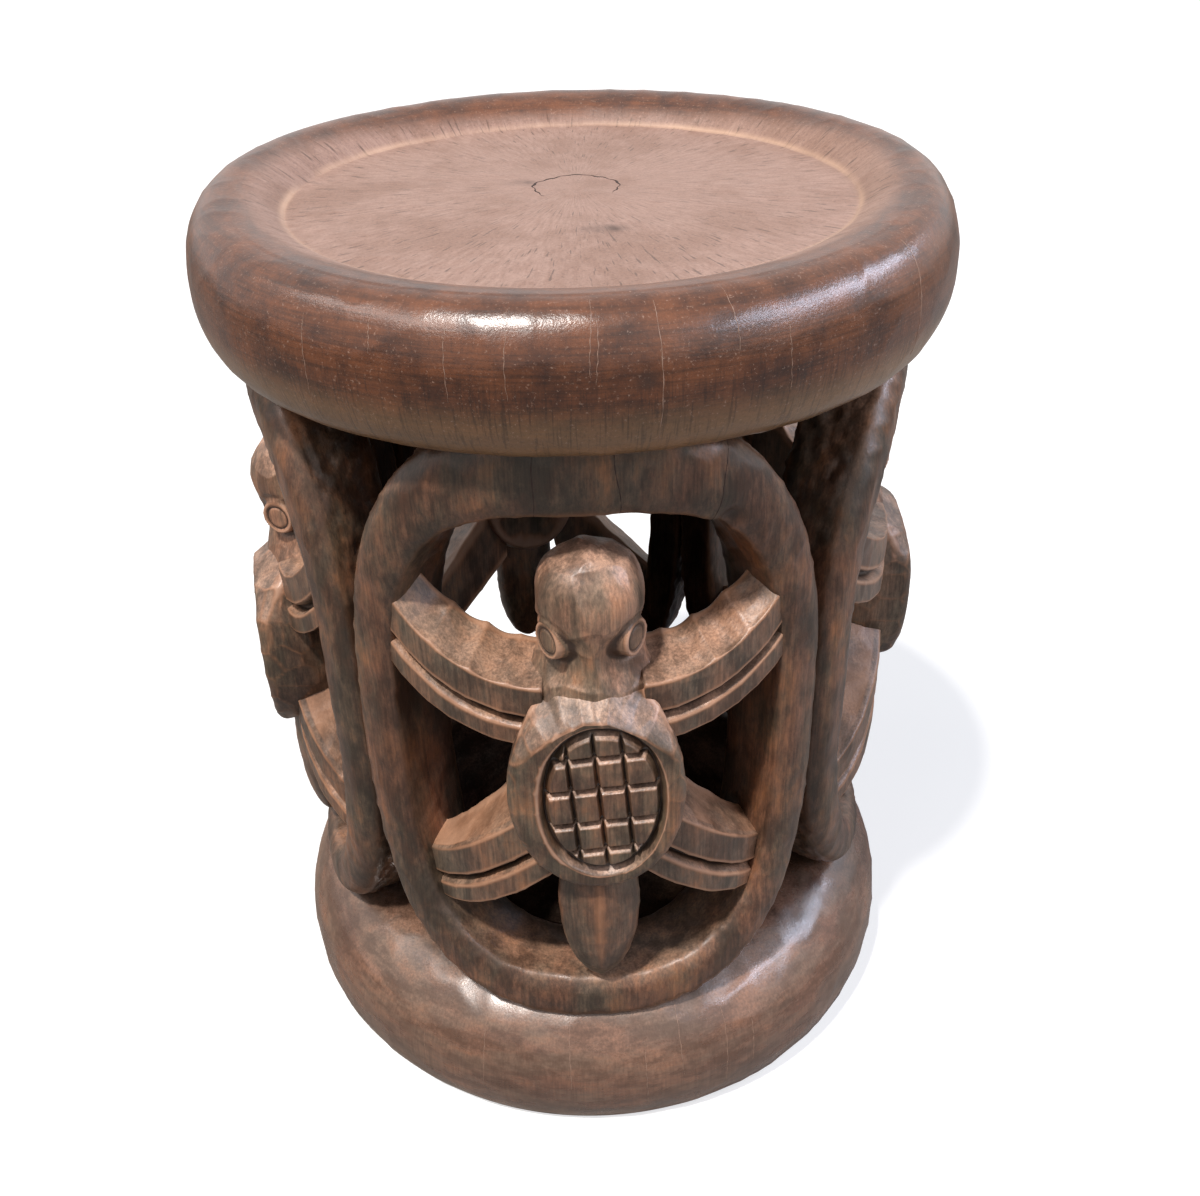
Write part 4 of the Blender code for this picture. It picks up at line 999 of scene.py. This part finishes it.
def lamp(name, azimuth, elevation, strength, spread, colour):
    """Soft distant lamp that shines at the stool from an azimuth (0 is the front, positive to the right)
    and an elevation."""
    light = bpy.data.lights.new(name, "SUN")
    light.energy = strength
    light.angle = math.radians(spread)
    light.color = linear(colour)[:3]
    holder = bpy.data.objects.new(name, light)
    holder.rotation_euler = (math.radians(90 - elevation), 0, math.radians(azimuth))
    bpy.context.scene.collection.objects.link(holder)


lamp("key_light", azimuth=-38, elevation=64.5, strength=3.7, spread=4, colour="#fffaf5")
lamp("fill_light", azimuth=42, elevation=30, strength=0.3, spread=50, colour="#fff8f2")


STRIP_LENGTH, STRIP_WIDTH = 2.2, 0.25
STRIP_AWAY = 2
STRIP_AIM = 0.3


def strip(name, azimuth, elevation, power, colour):
    """Long level softbox that faces the middle of the stool from 2 m away. Its reflection is the long
    sheen."""
    light = bpy.data.lights.new(name, "AREA")
    light.shape, light.size, light.size_y = "RECTANGLE", STRIP_LENGTH, STRIP_WIDTH
    light.energy = power
    light.color = linear(colour)[:3]
    turn, rise = math.radians(azimuth), math.radians(elevation)
    holder = bpy.data.objects.new(name, light)
    level = STRIP_AWAY * math.cos(rise)
    holder.location = (level * math.sin(turn), -level * math.cos(turn),
                       STRIP_AIM + STRIP_AWAY * math.sin(rise))
    holder.rotation_euler = (math.pi / 2 - rise, 0, turn)
    bpy.context.scene.collection.objects.link(holder)


strip("left_softbox", azimuth=-62, elevation=47, power=15, colour="#fff4f0")
strip("right_softbox", azimuth=80, elevation=33, power=35, colour="#dfe8ff")

# The focal length is in pixels of a picture 1200 pixels wide.
PICTURE_WIDTH = 1200
SENSOR_WIDTH = 36
CAMERA_FOCUS = 1299.894
CAMERA_PLACE = (0.0, -0.58891, 0.59929)
pitch, roll, yaw = math.radians(32.7337), math.radians(-1.45664), math.radians(0.77453)
level_right = np.array((math.cos(yaw), -math.sin(yaw), 0))
ahead = np.array((math.sin(yaw) * math.cos(pitch), math.cos(yaw) * math.cos(pitch), -math.sin(pitch)))
level_up = np.array((math.sin(yaw) * math.sin(pitch), math.cos(yaw) * math.sin(pitch), math.cos(pitch)))
right = level_right * math.cos(roll) + level_up * math.sin(roll)
up = level_up * math.cos(roll) - level_right * math.sin(roll)
lens = bpy.data.cameras.new("camera")
lens.sensor_width = SENSOR_WIDTH
lens.lens = SENSOR_WIDTH * CAMERA_FOCUS / PICTURE_WIDTH
lens.clip_start = 0.01
camera = bpy.data.objects.new("camera", lens)
camera_axes = np.stack((right, up, -ahead), axis=1)
camera.matrix_world = Matrix(np.block([[camera_axes, np.array(CAMERA_PLACE)[:, None]],
                                       [np.zeros((1, 3)), np.ones((1, 1))]]).tolist())
bpy.context.scene.collection.objects.link(camera)
bpy.context.scene.camera = camera
bpy.context.scene.view_settings.view_transform = "Standard"
